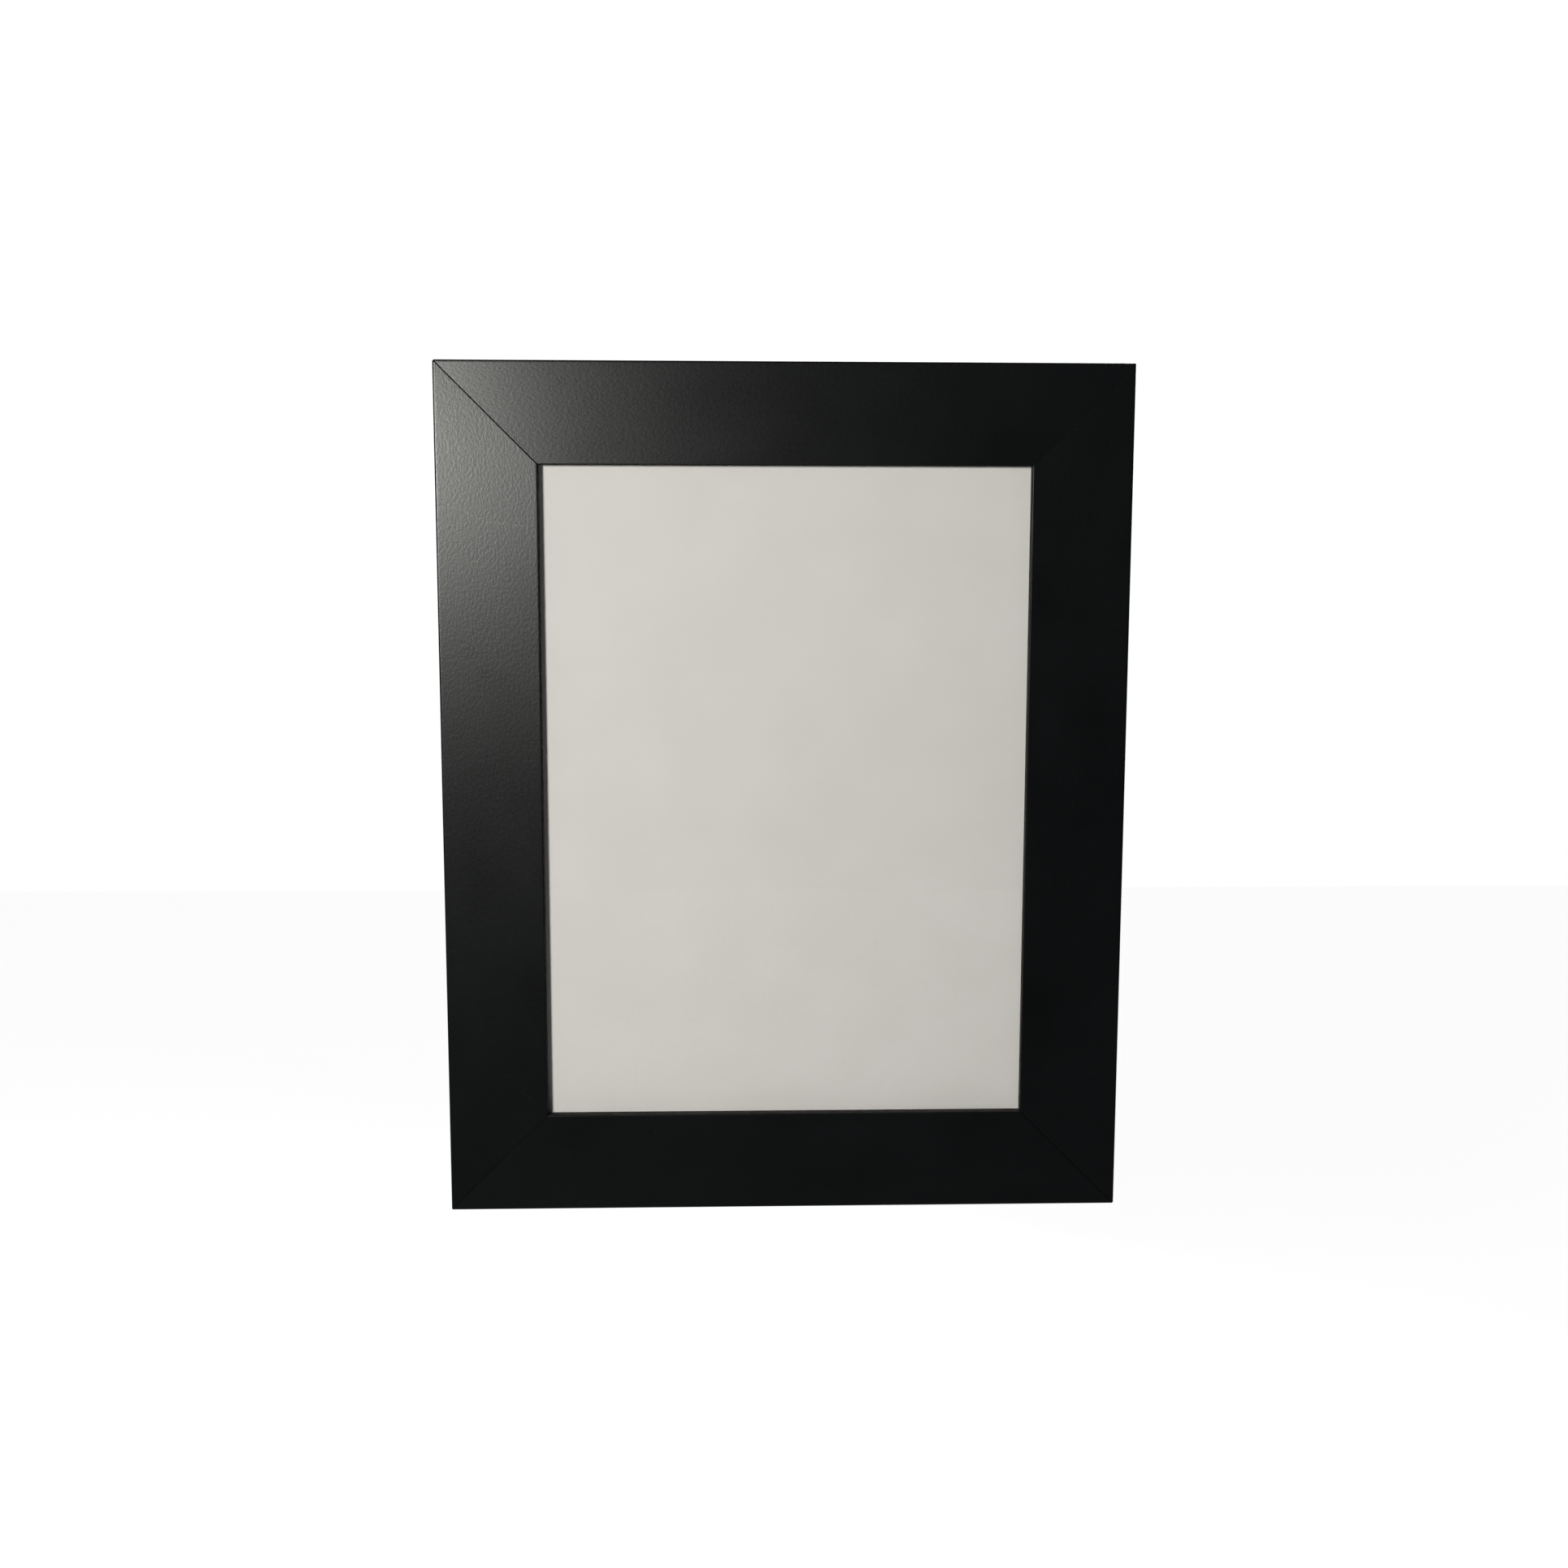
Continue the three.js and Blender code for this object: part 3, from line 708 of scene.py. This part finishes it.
def hardboard(name, tones, screened):
    finish, tree, shader = finish_new(name)
    place = object_place(tree)
    fibre = noise(tree, place, scale=700, detail=4, roughness=0.65)
    patch = noise(tree, place, scale=18, detail=3, roughness=0.55)
    both = maths(tree, "MULTIPLY_ADD", patch, HARDBOARD_PATCHES, fibre)
    colour = blended(tree, ranged(tree, both, 0, 1, from_low=0.45, from_high=1.0), *tones)
    colour = blended(tree, shives(tree, place, scale=620, low=0.66, high=0.9), colour, SHIVE_BROWN)
    height, depth = fibre, SMOOTH_RELIEF
    if screened:
        feeds = {"Vector": place, "Rotation": (0, SCREEN_TURN, 0)}
        across = wire(tree, "SeparateXYZ", {"Vector": wire(tree, "Mapping", feeds).outputs["Vector"]})
        waves = []
        for axis in ("X", "Z"):
            angle = maths(tree, "MULTIPLY", across.outputs[axis], 2 * math.pi / SCREEN_PITCH)
            waves.append(maths(tree, "SINE", angle))
        woven = maths(tree, "MULTIPLY", *waves)
        height, depth = maths(tree, "MULTIPLY_ADD", woven, SCREEN_SHARE, fibre), SCREEN_RELIEF
        # painted shade: the colour darkens towards the bottom of each of the screen's pits
        pit_shade = ranged(tree, woven, PIT_SHADE_SHARE, 0, from_low=-1, from_high=PIT_RIM)
        colour = blended(tree, pit_shade, colour, PIT_SHADE_BROWN)
        worn = maths(tree, "MULTIPLY", rub_marks(tree, place), ranged(tree, fibre, low=0.1, high=0.6))
        colour = blended(tree, worn, colour, RUB_BROWN)
    rough = ranged(tree, fibre, *HARDBOARD_ROUGH)
    surface(tree, shader, colour, rough, height, strength=0.6, depth=depth, shine=HARDBOARD_SHINE)
    return finish


board = block("backing_board_cut", *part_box("backing_board"))
take_up(board, "EDIT")
round_edges(board, lambda a, b: True, BOARD_ARRIS, steps=2)
dress_surface(board)
board.data.materials.append(hardboard("screened hardboard", SCREEN_BROWN, True))
board.data.materials.append(hardboard("smooth hardboard", SMOOTH_BROWN, False))
for face in board.data.polygons:
    face.material_index = SMOOTH_SLOT if face.normal.y < SMOOTH_SIDE else SCREEN_SLOT
stand_for(board, "backing_board")


# Corner nails
# V-shaped steel nails pressed in from the back across each mitre, two to a corner.
# Each is bent from thin strip, which is clouded and finely scratched.

NAIL_ARRIS = 0.00008
NAIL_STEEL = ((0.20, 0.20, 0.205, 1), (0.42, 0.42, 0.43, 1))
SCRATCH_DRAWN = 0.12  # the fine scratches are long up and down
# how far round from the bench the nails of each corner are put
CORNERS = {"bottom_left": 0, "bottom_right": -math.pi / 2, "top_right": math.pi, "top_left": math.pi / 2}


def box_of(piece):
    """Lowest and highest corner of the piece's own mesh."""
    places = [corner.co for corner in piece.data.vertices]
    low = Vector([min(p[axis] for p in places) for axis in range(3)])
    high = Vector([max(p[axis] for p in places) for axis in range(3)])
    return low, high


def another(piece, name):
    """A copy with its own mesh."""
    copy = piece.copy()
    copy.data = piece.data.copy()
    copy.name = copy.data.name = name
    bpy.context.scene.collection.objects.link(copy)
    return copy


def put_where(piece, node, turn):
    """Turns a piece round from the bench and puts it where its CAD node is."""
    piece.rotation_euler = (0, turn, 0)
    freeze(piece)
    own_low, own_high = box_of(piece)
    low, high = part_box(node)
    piece.location = (low + high) / 2 - (own_low + own_high) / 2
    freeze(piece)


def plated(name, tones, rough, scratch):
    """Bare or plated metal: clouded, finely scratched, and duller in patches."""
    finish, tree, shader = finish_new(name)
    place = object_place(tree)
    cloud = noise(tree, place, scale=240, detail=4, roughness=0.6)
    drawn = wire(tree, "Mapping", {"Vector": place, "Scale": (1, 1, SCRATCH_DRAWN)}).outputs["Vector"]
    lines = noise(tree, drawn, scale=4000, detail=2, roughness=0.6)
    grime = noise(tree, place, scale=900, detail=3, roughness=0.7)
    colour = blended(tree, ranged(tree, cloud, 0, 1), *tones)
    rough = ranged(tree, maths(tree, "ADD", cloud, grime), *rough, from_low=0.75, from_high=1.25)
    surface(tree, shader, colour, rough, lines, strength=scratch, depth=0.00003)
    shader.inputs["Metallic"].default_value = 1.0
    return finish


FIRST_NAIL = "corner_nail_bottom_left_outer"
low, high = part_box(FIRST_NAIL)
nail_thick = min(  # from the outside of its bend to the inside
    corner.co.x - low.x
    for corner in frame["nodes"][FIRST_NAIL].data.vertices
    if corner.co.x > low.x + SAME_PLACE
)
nail = block("corner_nail", (0, low.y, 0), (nail_thick, high.y, nail_thick))
take_up(nail, "EDIT")
for axis in (0, 2):
    wing = [0, 0, 0]
    wing[axis] = high[axis] - low[axis] - nail_thick
    bend = nail_thick / 2
    pick_faces(nail, lambda middle, normal: normal[axis] > FACING and near(middle[2 - axis], bend))
    bpy.ops.mesh.extrude_region_move(TRANSFORM_OT_translate={"value": wing})
round_edges(nail, lambda a, b: near(a.y, b.y), NAIL_ARRIS, steps=2)
dress_surface(nail)
nail.data.materials.append(plated("nail steel", NAIL_STEEL, rough=(0.32, 0.55), scratch=0.25))
for corner, turn in CORNERS.items():
    for place in ("outer", "inner"):
        node = f"corner_nail_{corner}_{place}"
        driven = another(nail, f"{node}_bent")
        put_where(driven, node, turn)
        stand_for(driven, node)
bpy.data.objects.remove(nail)


# Turn buttons
# Eight buttons stamped from zinc-plated steel, round at the screw and narrower at the tip.
# The punch has rounded their upper edge, and each turns on its screw to free the board.

BUTTON_HEAD_RADIUS = 0.0065
BUTTON_TIP_RADIUS = 0.0045
BUTTON_HOLE_RADIUS = 0.0019
BUTTON_ROLL = 0.00035  # the rounded upper edge
BUTTON_BURR = 0.0001
ZINC = ((0.42, 0.435, 0.455, 1), (0.60, 0.61, 0.62, 1))


def join(first, *others):
    put_all_down()
    for piece in (*others, first):
        piece.select_set(True)
    bpy.context.view_layer.objects.active = first
    bpy.ops.object.join()


node_low, node_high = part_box("turn_button_bottom_left")
button_thick = node_high.y - node_low.y
button_reach = node_high.z - node_low.z - BUTTON_HEAD_RADIUS - BUTTON_TIP_RADIUS
button = disc("turn_button", BUTTON_HEAD_RADIUS, 0, button_thick)
join(button, disc("tip", BUTTON_TIP_RADIUS, 0, button_thick, z=button_reach))
take_up(button, "EDIT")
bpy.ops.mesh.select_all(action="SELECT")
bpy.ops.mesh.convex_hull()
bpy.ops.mesh.dissolve_limited(angle_limit=math.radians(1))
for height, radius, steps in ((button_thick, BUTTON_ROLL, 4), (0, BUTTON_BURR, 1)):
    round_edges(button, lambda a, b: near(a.y, height) and near(b.y, height), radius, steps)
cut_away(button, disc("hole", BUTTON_HOLE_RADIUS, -button_thick, 2 * button_thick))
dress_surface(button)
ZINC_PLATE = plated("zinc plate", ZINC, rough=(0.30, 0.50), scratch=0.22)
button.data.materials.append(ZINC_PLATE)
for node in [n for n in frame["nodes"] if n.startswith("turn_button")]:
    side = node.split("_")[2]
    turned = another(button, f"{node}_stamped")
    put_where(turned, node, SIDES[side]["turn"])
    stand_for(turned, node)
bpy.data.objects.remove(button)


# Screws
# Pan-head screws with a cross recess: zinc plated through the turn buttons, brass plated through
# the hanger straps. Each is upset and pressed cold, so its head is a smooth dome.

SHANK_RADIUS = 0.0016
SHANK_SIDES = 48
HEAD_RADIUS = 0.003
HEAD_HEIGHT = 0.002
HEAD_RIM = 0.0007
DOME_STEPS = 8
POINT_LENGTH = 0.0035
POINT_RADIUS = 0.00015
RECESS_SPAN = 0.0034
RECESS_SLOT = 0.0009
RECESS_DEPTH = 0.0012
RECESS_OVERRUN = 0.0004  # past the top of the head
RECESS_TAPER = 0.62  # it narrows to this share at its floor
BRASS = ((0.44, 0.28, 0.095, 1), (0.64, 0.46, 0.20, 1))


def widen(factor, y):
    """Scales what is selected about the Y axis, on which every round piece is made."""
    bpy.ops.transform.resize(value=(factor, 1, factor), center_override=(0, y, 0))


def pan_head_screw(name, reach):
    """Stands on the bench along Y, with the underside of its head at zero and its point below."""
    screw = disc(name, SHANK_RADIUS, POINT_LENGTH - reach, 0, sides=SHANK_SIDES)
    take_up(screw, "EDIT")
    pick_faces(screw, lambda middle, normal: normal.y < -FACING)
    bpy.ops.mesh.extrude_region_move(TRANSFORM_OT_translate={"value": (0, -POINT_LENGTH, 0)})
    widen(POINT_RADIUS / SHANK_RADIUS, -reach)
    pick_faces(screw, lambda middle, normal: normal.y > FACING)
    bpy.ops.mesh.extrude_region_move()
    widen(HEAD_RADIUS / SHANK_RADIUS, 0)
    bpy.ops.mesh.extrude_region_move(TRANSFORM_OT_translate={"value": (0, HEAD_RIM, 0)})
    radius, y = HEAD_RADIUS, HEAD_RIM
    for step in range(1, DOME_STEPS):
        turn = step / DOME_STEPS * math.pi / 2
        next_radius = HEAD_RADIUS * math.cos(turn)
        next_y = HEAD_RIM + (HEAD_HEIGHT - HEAD_RIM) * math.sin(turn)
        bpy.ops.mesh.extrude_region_move(TRANSFORM_OT_translate={"value": (0, next_y - y, 0)})
        widen(next_radius / radius, next_y)
        radius, y = next_radius, next_y
    pick_faces(screw, lambda middle, normal: normal.y > FACING and middle.y > y - SAME_PLACE)
    bpy.ops.transform.translate(value=(0, HEAD_HEIGHT - y, 0))
    bottom, above = HEAD_HEIGHT - RECESS_DEPTH, HEAD_HEIGHT + RECESS_OVERRUN
    for x_span, z_span in ((RECESS_SPAN, RECESS_SLOT), (RECESS_SLOT, RECESS_SPAN)):
        slot = block("slot", (-x_span / 2, bottom, -z_span / 2), (x_span / 2, above, z_span / 2))
        take_up(slot, "EDIT")
        pick_faces(slot, lambda middle, normal: normal.y < -FACING)
        bpy.ops.transform.resize(value=(RECESS_TAPER, 1, RECESS_TAPER), center_override=(0, bottom, 0))
        put_all_down()
        cut_away(screw, slot)
    dress_surface(screw)
    return screw


BRASS_PLATE = plated("brass plate", BRASS, rough=(0.26, 0.46), scratch=0.2)
for kind, slot, plate in (("button", "zinc_plate", ZINC_PLATE), ("hanger", "brass_plate", BRASS_PLATE)):
    nodes = [n for n in frame["nodes"] if n.startswith(f"{kind}_screw")]
    node_low, node_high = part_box(nodes[0])
    screw = pan_head_screw(f"{kind}_screw", node_high.y - node_low.y - HEAD_HEIGHT)
    screw.data.materials.append(plate)
    for node in nodes:
        driven = another(screw, f"{node}_driven")
        put_where(driven, node, SIDES[node.split("_")[2]]["turn"])
        stand_for(driven, node)
    bpy.data.objects.remove(screw)


# Hanger straps
# Brass-plated strip folded over the bar of the ring, so that both of its leaves lie flat.
# The tail is round, and two screws go through both leaves into the rail.

STRAP_LENGTH = 0.030  # from the ring's bar to the tail
STRAP_THICK = 0.0007
LEAF_GAP = 0.0002
WIRE_RADIUS = 0.0009
WIRE_PLAY = 0.0002
STRAP_HOLE_RADIUS = 0.0018
STRAP_HOLE_SIDES = 40
STRAP_SCREWS = (0.0065, 0.022)  # from the ring's bar
STRAP_ARRIS = 0.00012
FOLD_STEPS = 28
FOLD_EASE = 0.0004  # radius where the fold runs into the upper leaf
TAIL_ROUND = 0.499  # of the width, so that the two rounded corners only just meet
TAIL_STEPS = 12

strap_low, strap_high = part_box("hanger_strap_left")
strap_width = strap_high.z - strap_low.z
fold_radius = WIRE_RADIUS + WIRE_PLAY + STRAP_THICK / 2
bar_height = STRAP_THICK + WIRE_RADIUS + WIRE_PLAY
leaf_height = STRAP_THICK + LEAF_GAP + STRAP_THICK / 2  # middle of the upper leaf
fold_sweep = 1.5 * math.pi + math.asin((bar_height - leaf_height) / fold_radius)

put_all_down()
leaf_middle = (0, STRAP_THICK / 2, -STRAP_LENGTH / 2)
bpy.ops.mesh.primitive_plane_add(size=1, location=leaf_middle, rotation=(math.pi / 2, 0, 0))
strap = bpy.context.object
strap.name = strap.data.name = "hanger_strap"
strap.scale = (strap_width, STRAP_LENGTH, 1)
freeze(strap)
take_up(strap, "EDIT")
pick_edges(strap, lambda a, b: near(a.z, 0) and near(b.z, 0))
bpy.ops.mesh.spin(steps=FOLD_STEPS, angle=fold_sweep, center=(0, bar_height, 0), axis=(1, 0, 0))
fold_end = -math.sqrt(fold_radius**2 - (bar_height - leaf_height) ** 2)
bpy.ops.mesh.extrude_region_move(TRANSFORM_OT_translate={"value": (0, 0, -STRAP_LENGTH - fold_end)})
pick_edges(strap, lambda a, b: near(a.z, fold_end) and near(b.z, fold_end))
bpy.ops.mesh.bevel(offset=FOLD_EASE, segments=4, affect="EDGES")
bpy.ops.mesh.select_mode(type="VERT")
bpy.ops.mesh.select_all(action="DESELECT")
shape = bmesh.from_edit_mesh(strap.data)
for corner in shape.verts:
    corner.select_set(near(corner.co.z, -STRAP_LENGTH))
bmesh.update_edit_mesh(strap.data)
bpy.ops.mesh.bevel(offset=TAIL_ROUND * strap_width, segments=TAIL_STEPS, affect="VERTICES")
bpy.ops.mesh.select_all(action="SELECT")
bpy.ops.mesh.remove_doubles(threshold=SAME_PLACE)
bpy.ops.mesh.normals_make_consistent(inside=False)
put_all_down()
take_up(strap)
sheet = strap.modifiers.new("sheet", "SOLIDIFY")
sheet.thickness = STRAP_THICK
sheet.offset = 0
bpy.ops.object.modifier_apply(modifier=sheet.name)
for inset in STRAP_SCREWS:
    hole = disc("hole", STRAP_HOLE_RADIUS, -STRAP_THICK, 4 * STRAP_THICK, 0, -inset, STRAP_HOLE_SIDES)
    cut_away(strap, hole)
take_up(strap)
arris = strap.modifiers.new("arris", "BEVEL")
arris.width = STRAP_ARRIS
arris.segments = 2
arris.limit_method = "ANGLE"
arris.angle_limit = math.radians(50)
bpy.ops.object.modifier_apply(modifier=arris.name)
dress_surface(strap)
strap.data.materials.append(BRASS_PLATE)
for side in ("left", "right"):
    node = f"hanger_strap_{side}"
    hung = another(strap, f"{node}_folded")
    put_where(hung, node, SIDES[side]["turn"])
    stand_for(hung, node)
bpy.data.objects.remove(strap)


# Hanger rings
# Brass-plated wire bent to a D, whose ends meet inside the strap's fold.
# Each swings round its straight bar, and lies on the back of the rail when it isn't in use.

RING_PLAY = 0.0011  # beside the strap
RING_HALF = strap_width / 2 + RING_PLAY + WIRE_RADIUS
RING_CORNER = 0.0024
RING_STRAIGHT = 0.005  # bar to the start of the bow
RING_BUTT_GAP = 0.0003
WIRE_SIDES = 20
CORNER_STEPS = 10
BOW_STEPS = 36

put_all_down()
bpy.ops.mesh.primitive_circle_add(
    vertices=WIRE_SIDES,
    radius=WIRE_RADIUS,
    location=(RING_BUTT_GAP / 2, 0, 0),
    rotation=(0, math.pi / 2, 0),
)
ring = bpy.context.object
ring.name = ring.data.name = "hanger_ring"
freeze(ring)
take_up(ring, "EDIT")
bpy.ops.mesh.select_all(action="SELECT")


def draw_wire(x, z):
    bpy.ops.mesh.extrude_region_move(TRANSFORM_OT_translate={"value": (x, 0, z)})


def bend_wire(steps, angle, x, z):
    bpy.ops.mesh.spin(steps=steps, angle=angle, center=(x, 0, z), axis=(0, 1, 0))


corner = RING_HALF - RING_CORNER
draw_wire(corner - RING_BUTT_GAP / 2, 0)
bend_wire(CORNER_STEPS, math.pi / 2, corner, RING_CORNER)
draw_wire(0, RING_STRAIGHT - RING_CORNER)
bend_wire(BOW_STEPS, math.pi, 0, RING_STRAIGHT)
draw_wire(0, RING_CORNER - RING_STRAIGHT)
bend_wire(CORNER_STEPS, math.pi / 2, -corner, RING_CORNER)
draw_wire(corner - RING_BUTT_GAP / 2, 0)
bpy.ops.mesh.select_all(action="SELECT")
bpy.ops.mesh.remove_doubles(threshold=SAME_PLACE)
for end in (1, -1):
    at = end * RING_BUTT_GAP / 2
    pick_edges(ring, lambda a, b: near(a.x, at) and near(b.x, at) and max(a.z, b.z) < 2 * WIRE_RADIUS)
    bpy.ops.mesh.edge_face_add()
bpy.ops.mesh.select_all(action="SELECT")
bpy.ops.mesh.normals_make_consistent(inside=False)
dress_surface(ring)
ring.data.materials.append(BRASS_PLATE)
for side in ("left", "right"):
    node = f"hanger_ring_{side}"
    hung = another(ring, f"{node}_bent")
    put_where(hung, node, SIDES[side]["turn"])
    stand_for(hung, node)
bpy.data.objects.remove(ring)


# Wall pads
# Soft black rubber bumpers stuck to the corners of the back, which hold the frame off the wall.
# Each is moulded with a rounded shoulder and a slightly dished face.

PAD_SHOULDER = 0.0028
PAD_FACE_SHARE = 5 / 6  # of the radius at the shoulder
PAD_ROUND = 0.0008
PAD_RIM = 0.0012  # flat rim round the dish
PAD_DISH = 0.0002
RUBBER = ((0.018, 0.018, 0.019, 1), (0.032, 0.032, 0.033, 1))
RUBBER_ROUGH = (0.55, 0.8)

pad_low, pad_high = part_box("wall_pad_top_left")
pad_radius = (pad_high.x - pad_low.x) / 2
pad_thick = pad_high.y - pad_low.y
pad = disc("wall_pad", pad_radius, 0, PAD_SHOULDER)
take_up(pad, "EDIT")
pick_faces(pad, lambda middle, normal: normal.y > FACING)
rise = pad_thick - PAD_SHOULDER
bpy.ops.mesh.extrude_region_move(TRANSFORM_OT_translate={"value": (0, rise, 0)})
widen(PAD_FACE_SHARE, pad_thick)
round_edges(pad, lambda a, b: near(a.y, b.y) and a.y > PAD_SHOULDER - SAME_PLACE, PAD_ROUND, steps=5)
pick_faces(pad, lambda middle, normal: normal.y > FACING and near(middle.y, pad_thick))
bpy.ops.mesh.inset(thickness=PAD_RIM)
bpy.ops.transform.translate(value=(0, -PAD_DISH, 0))
dress_surface(pad)
finish, tree, shader = finish_new("black rubber")
dust = noise(tree, object_place(tree), scale=500, detail=4, roughness=0.7)
colour = blended(tree, ranged(tree, dust, 0, 1), *RUBBER)
surface(tree, shader, colour, ranged(tree, dust, *RUBBER_ROUGH), dust, strength=0.4, depth=0.00005)
pad.data.materials.append(finish)
for node in [n for n in frame["nodes"] if n.startswith("wall_pad")]:
    stuck = another(pad, f"{node}_moulded")
    put_where(stuck, node, 0)
    stand_for(stuck, node)
bpy.data.objects.remove(pad)


# Floor, backdrop and lights
# A pale floor well below the hung frame, a white studio behind it and a dim room in front of it.
# One soft lamp stands to the left of the camera and another behind the frame lights its back.

FLOOR_Z = -1.5
FLOOR_SIZE = 14
FLOOR_PALE = (0.8, 0.8, 0.8, 1)
FLOOR_ROUGH = 0.9
FLOOR_LIFT = 0.9  # what the floor gives off where it is to look white
WHITE = (1, 1, 1, 1)
ROOM_FILL = 0.07  # the room's light on matt surfaces
WHITE_FROM, WHITE_TO = 0.45, 0.95  # where the room in front turns into the studio behind
FLOOR_WHITE_FROM, FLOOR_WHITE_TO = 0.6, 2.0  # the same on the floor, in metres
# dim patches of the room that the foil mirrors: the way to each, the cosines of the angles from it
# at which the patch starts and is full, and its level
ROOM_GLOWS = (
    ((-0.45, -0.8, -0.4), 0.86, 0.96, 0.2),
    ((0, 0, 1), -0.1, 0.15, 0.1),
)
KEY_PLACE = (-0.606, -1.4445, 0.205)
KEY_SIZE = 0.24
KEY_POWER = 25
KEY_COLOUR = (1.0, 1.0, 0.95)
BACK_PLACE = (0.95, 1.5, 0.75)
BACK_SIZE = 0.9
BACK_POWER = 40


def studio_white(tree, depth, low, high):
    """How white a camera, mirrored or refracted ray sees the studio, by how far back it looks.

    The second output is one for all of those rays, and nothing for the light on matt surfaces."""
    ray = wire(tree, "LightPath", {}).outputs
    mirrored = maths(tree, "MAXIMUM", ray["Is Glossy Ray"], ray["Is Transmission Ray"])
    feeds = {"Value": depth, "From Min": low, "From Max": high}
    behind = wire(tree, "MapRange", feeds, interpolation_type="SMOOTHSTEP").outputs["Result"]
    white = maths(tree, "MAXIMUM", maths(tree, "MULTIPLY", mirrored, behind), ray["Is Camera Ray"])
    sharp = maths(tree, "MAXIMUM", mirrored, ray["Is Camera Ray"])
    return white, sharp


bpy.ops.mesh.primitive_plane_add(size=FLOOR_SIZE, location=(0, 0, FLOOR_Z))
floor = bpy.context.object
floor.name = "floor"
freeze(floor)
finish, tree, shader = finish_new("pale floor")
shader.inputs["Base Color"].default_value = FLOOR_PALE
shader.inputs["Roughness"].default_value = FLOOR_ROUGH
depth = wire(tree, "SeparateXYZ", {"Vector": object_place(tree)}).outputs["Y"]
white, _ = studio_white(tree, depth, FLOOR_WHITE_FROM, FLOOR_WHITE_TO)
lift = maths(tree, "MULTIPLY", white, FLOOR_LIFT)
glow = wire(tree, "Emission", {"Color": WHITE, "Strength": lift})
both = wire(tree, "AddShader", {0: shader.outputs["BSDF"], 1: glow.outputs["Emission"]})
tree.links.new(both.outputs["Shader"], tree.nodes["Material Output"].inputs["Surface"])
floor.data.materials.append(finish)

world = bpy.data.worlds.new("studio")
world.use_nodes = True
bpy.context.scene.world = world
tree = world.node_tree
heading = wire(tree, "TexCoord", {}).outputs["Generated"]
depth = wire(tree, "SeparateXYZ", {"Vector": heading}).outputs["Y"]
white, sharp = studio_white(tree, depth, WHITE_FROM, WHITE_TO)
for towards, start, full, glow in ROOM_GLOWS:
    feeds = {0: heading, 1: Vector(towards).normalized()}
    turned = wire(tree, "VectorMath", feeds, operation="DOT_PRODUCT").outputs["Value"]
    feeds = {"Value": turned, "From Min": start, "From Max": full, "To Max": glow}
    patch = wire(tree, "MapRange", feeds, interpolation_type="SMOOTHSTEP").outputs["Result"]
    white = maths(tree, "ADD", white, patch)
level = wire(tree, "Mix", {"Factor": sharp, "A": ROOM_FILL, "B": white}).outputs["Result"]
tree.links.new(level, tree.nodes["Background"].inputs["Strength"])
tree.nodes["Background"].inputs["Color"].default_value = WHITE


def soft_lamp(name, place, size, power, colour=(1, 1, 1)):
    bpy.ops.object.light_add(type="AREA", location=place)
    lamp = bpy.context.object
    lamp.name = name
    lamp.data.shape = "DISK"
    lamp.data.size = size
    lamp.data.energy = power
    lamp.data.color = colour
    lamp.visible_camera = False
    aim = FRONT_MIDDLE - Vector(place)
    lamp.rotation_euler = aim.to_track_quat("-Z", "Y").to_euler()


soft_lamp("key lamp", KEY_PLACE, KEY_SIZE, KEY_POWER, KEY_COLOUR)
soft_lamp("back lamp", BACK_PLACE, BACK_SIZE, BACK_POWER)


# Camera
# About a metre in front of the frame, a little above its middle and left of it, and tilted
# slightly down, with a lens that sees a little under 50 degrees across.

CAMERA_PLACE = (-0.03602, -1.06619, 0.06151)
CAMERA_PITCH = math.radians(7.539)
CAMERA_YAW = math.radians(1.901)
CAMERA_ROLL = math.radians(0.127)
FOCAL_SHARE = 2162 / 1932  # focal length over the picture's width
SENSOR = 36

bpy.ops.object.camera_add()
camera = bpy.context.object
camera.data.sensor_width = SENSOR
camera.data.lens = FOCAL_SHARE * SENSOR
camera.data.clip_start = 0.01
turn = (
    Matrix.Rotation(math.radians(90) - CAMERA_PITCH, 4, "X")
    @ Matrix.Rotation(-CAMERA_YAW, 4, "Y")
    @ Matrix.Rotation(-CAMERA_ROLL, 4, "Z")
)
camera.matrix_world = Matrix.Translation(CAMERA_PLACE) @ turn
bpy.context.scene.camera = camera
bpy.context.scene.view_settings.view_transform = "Standard"
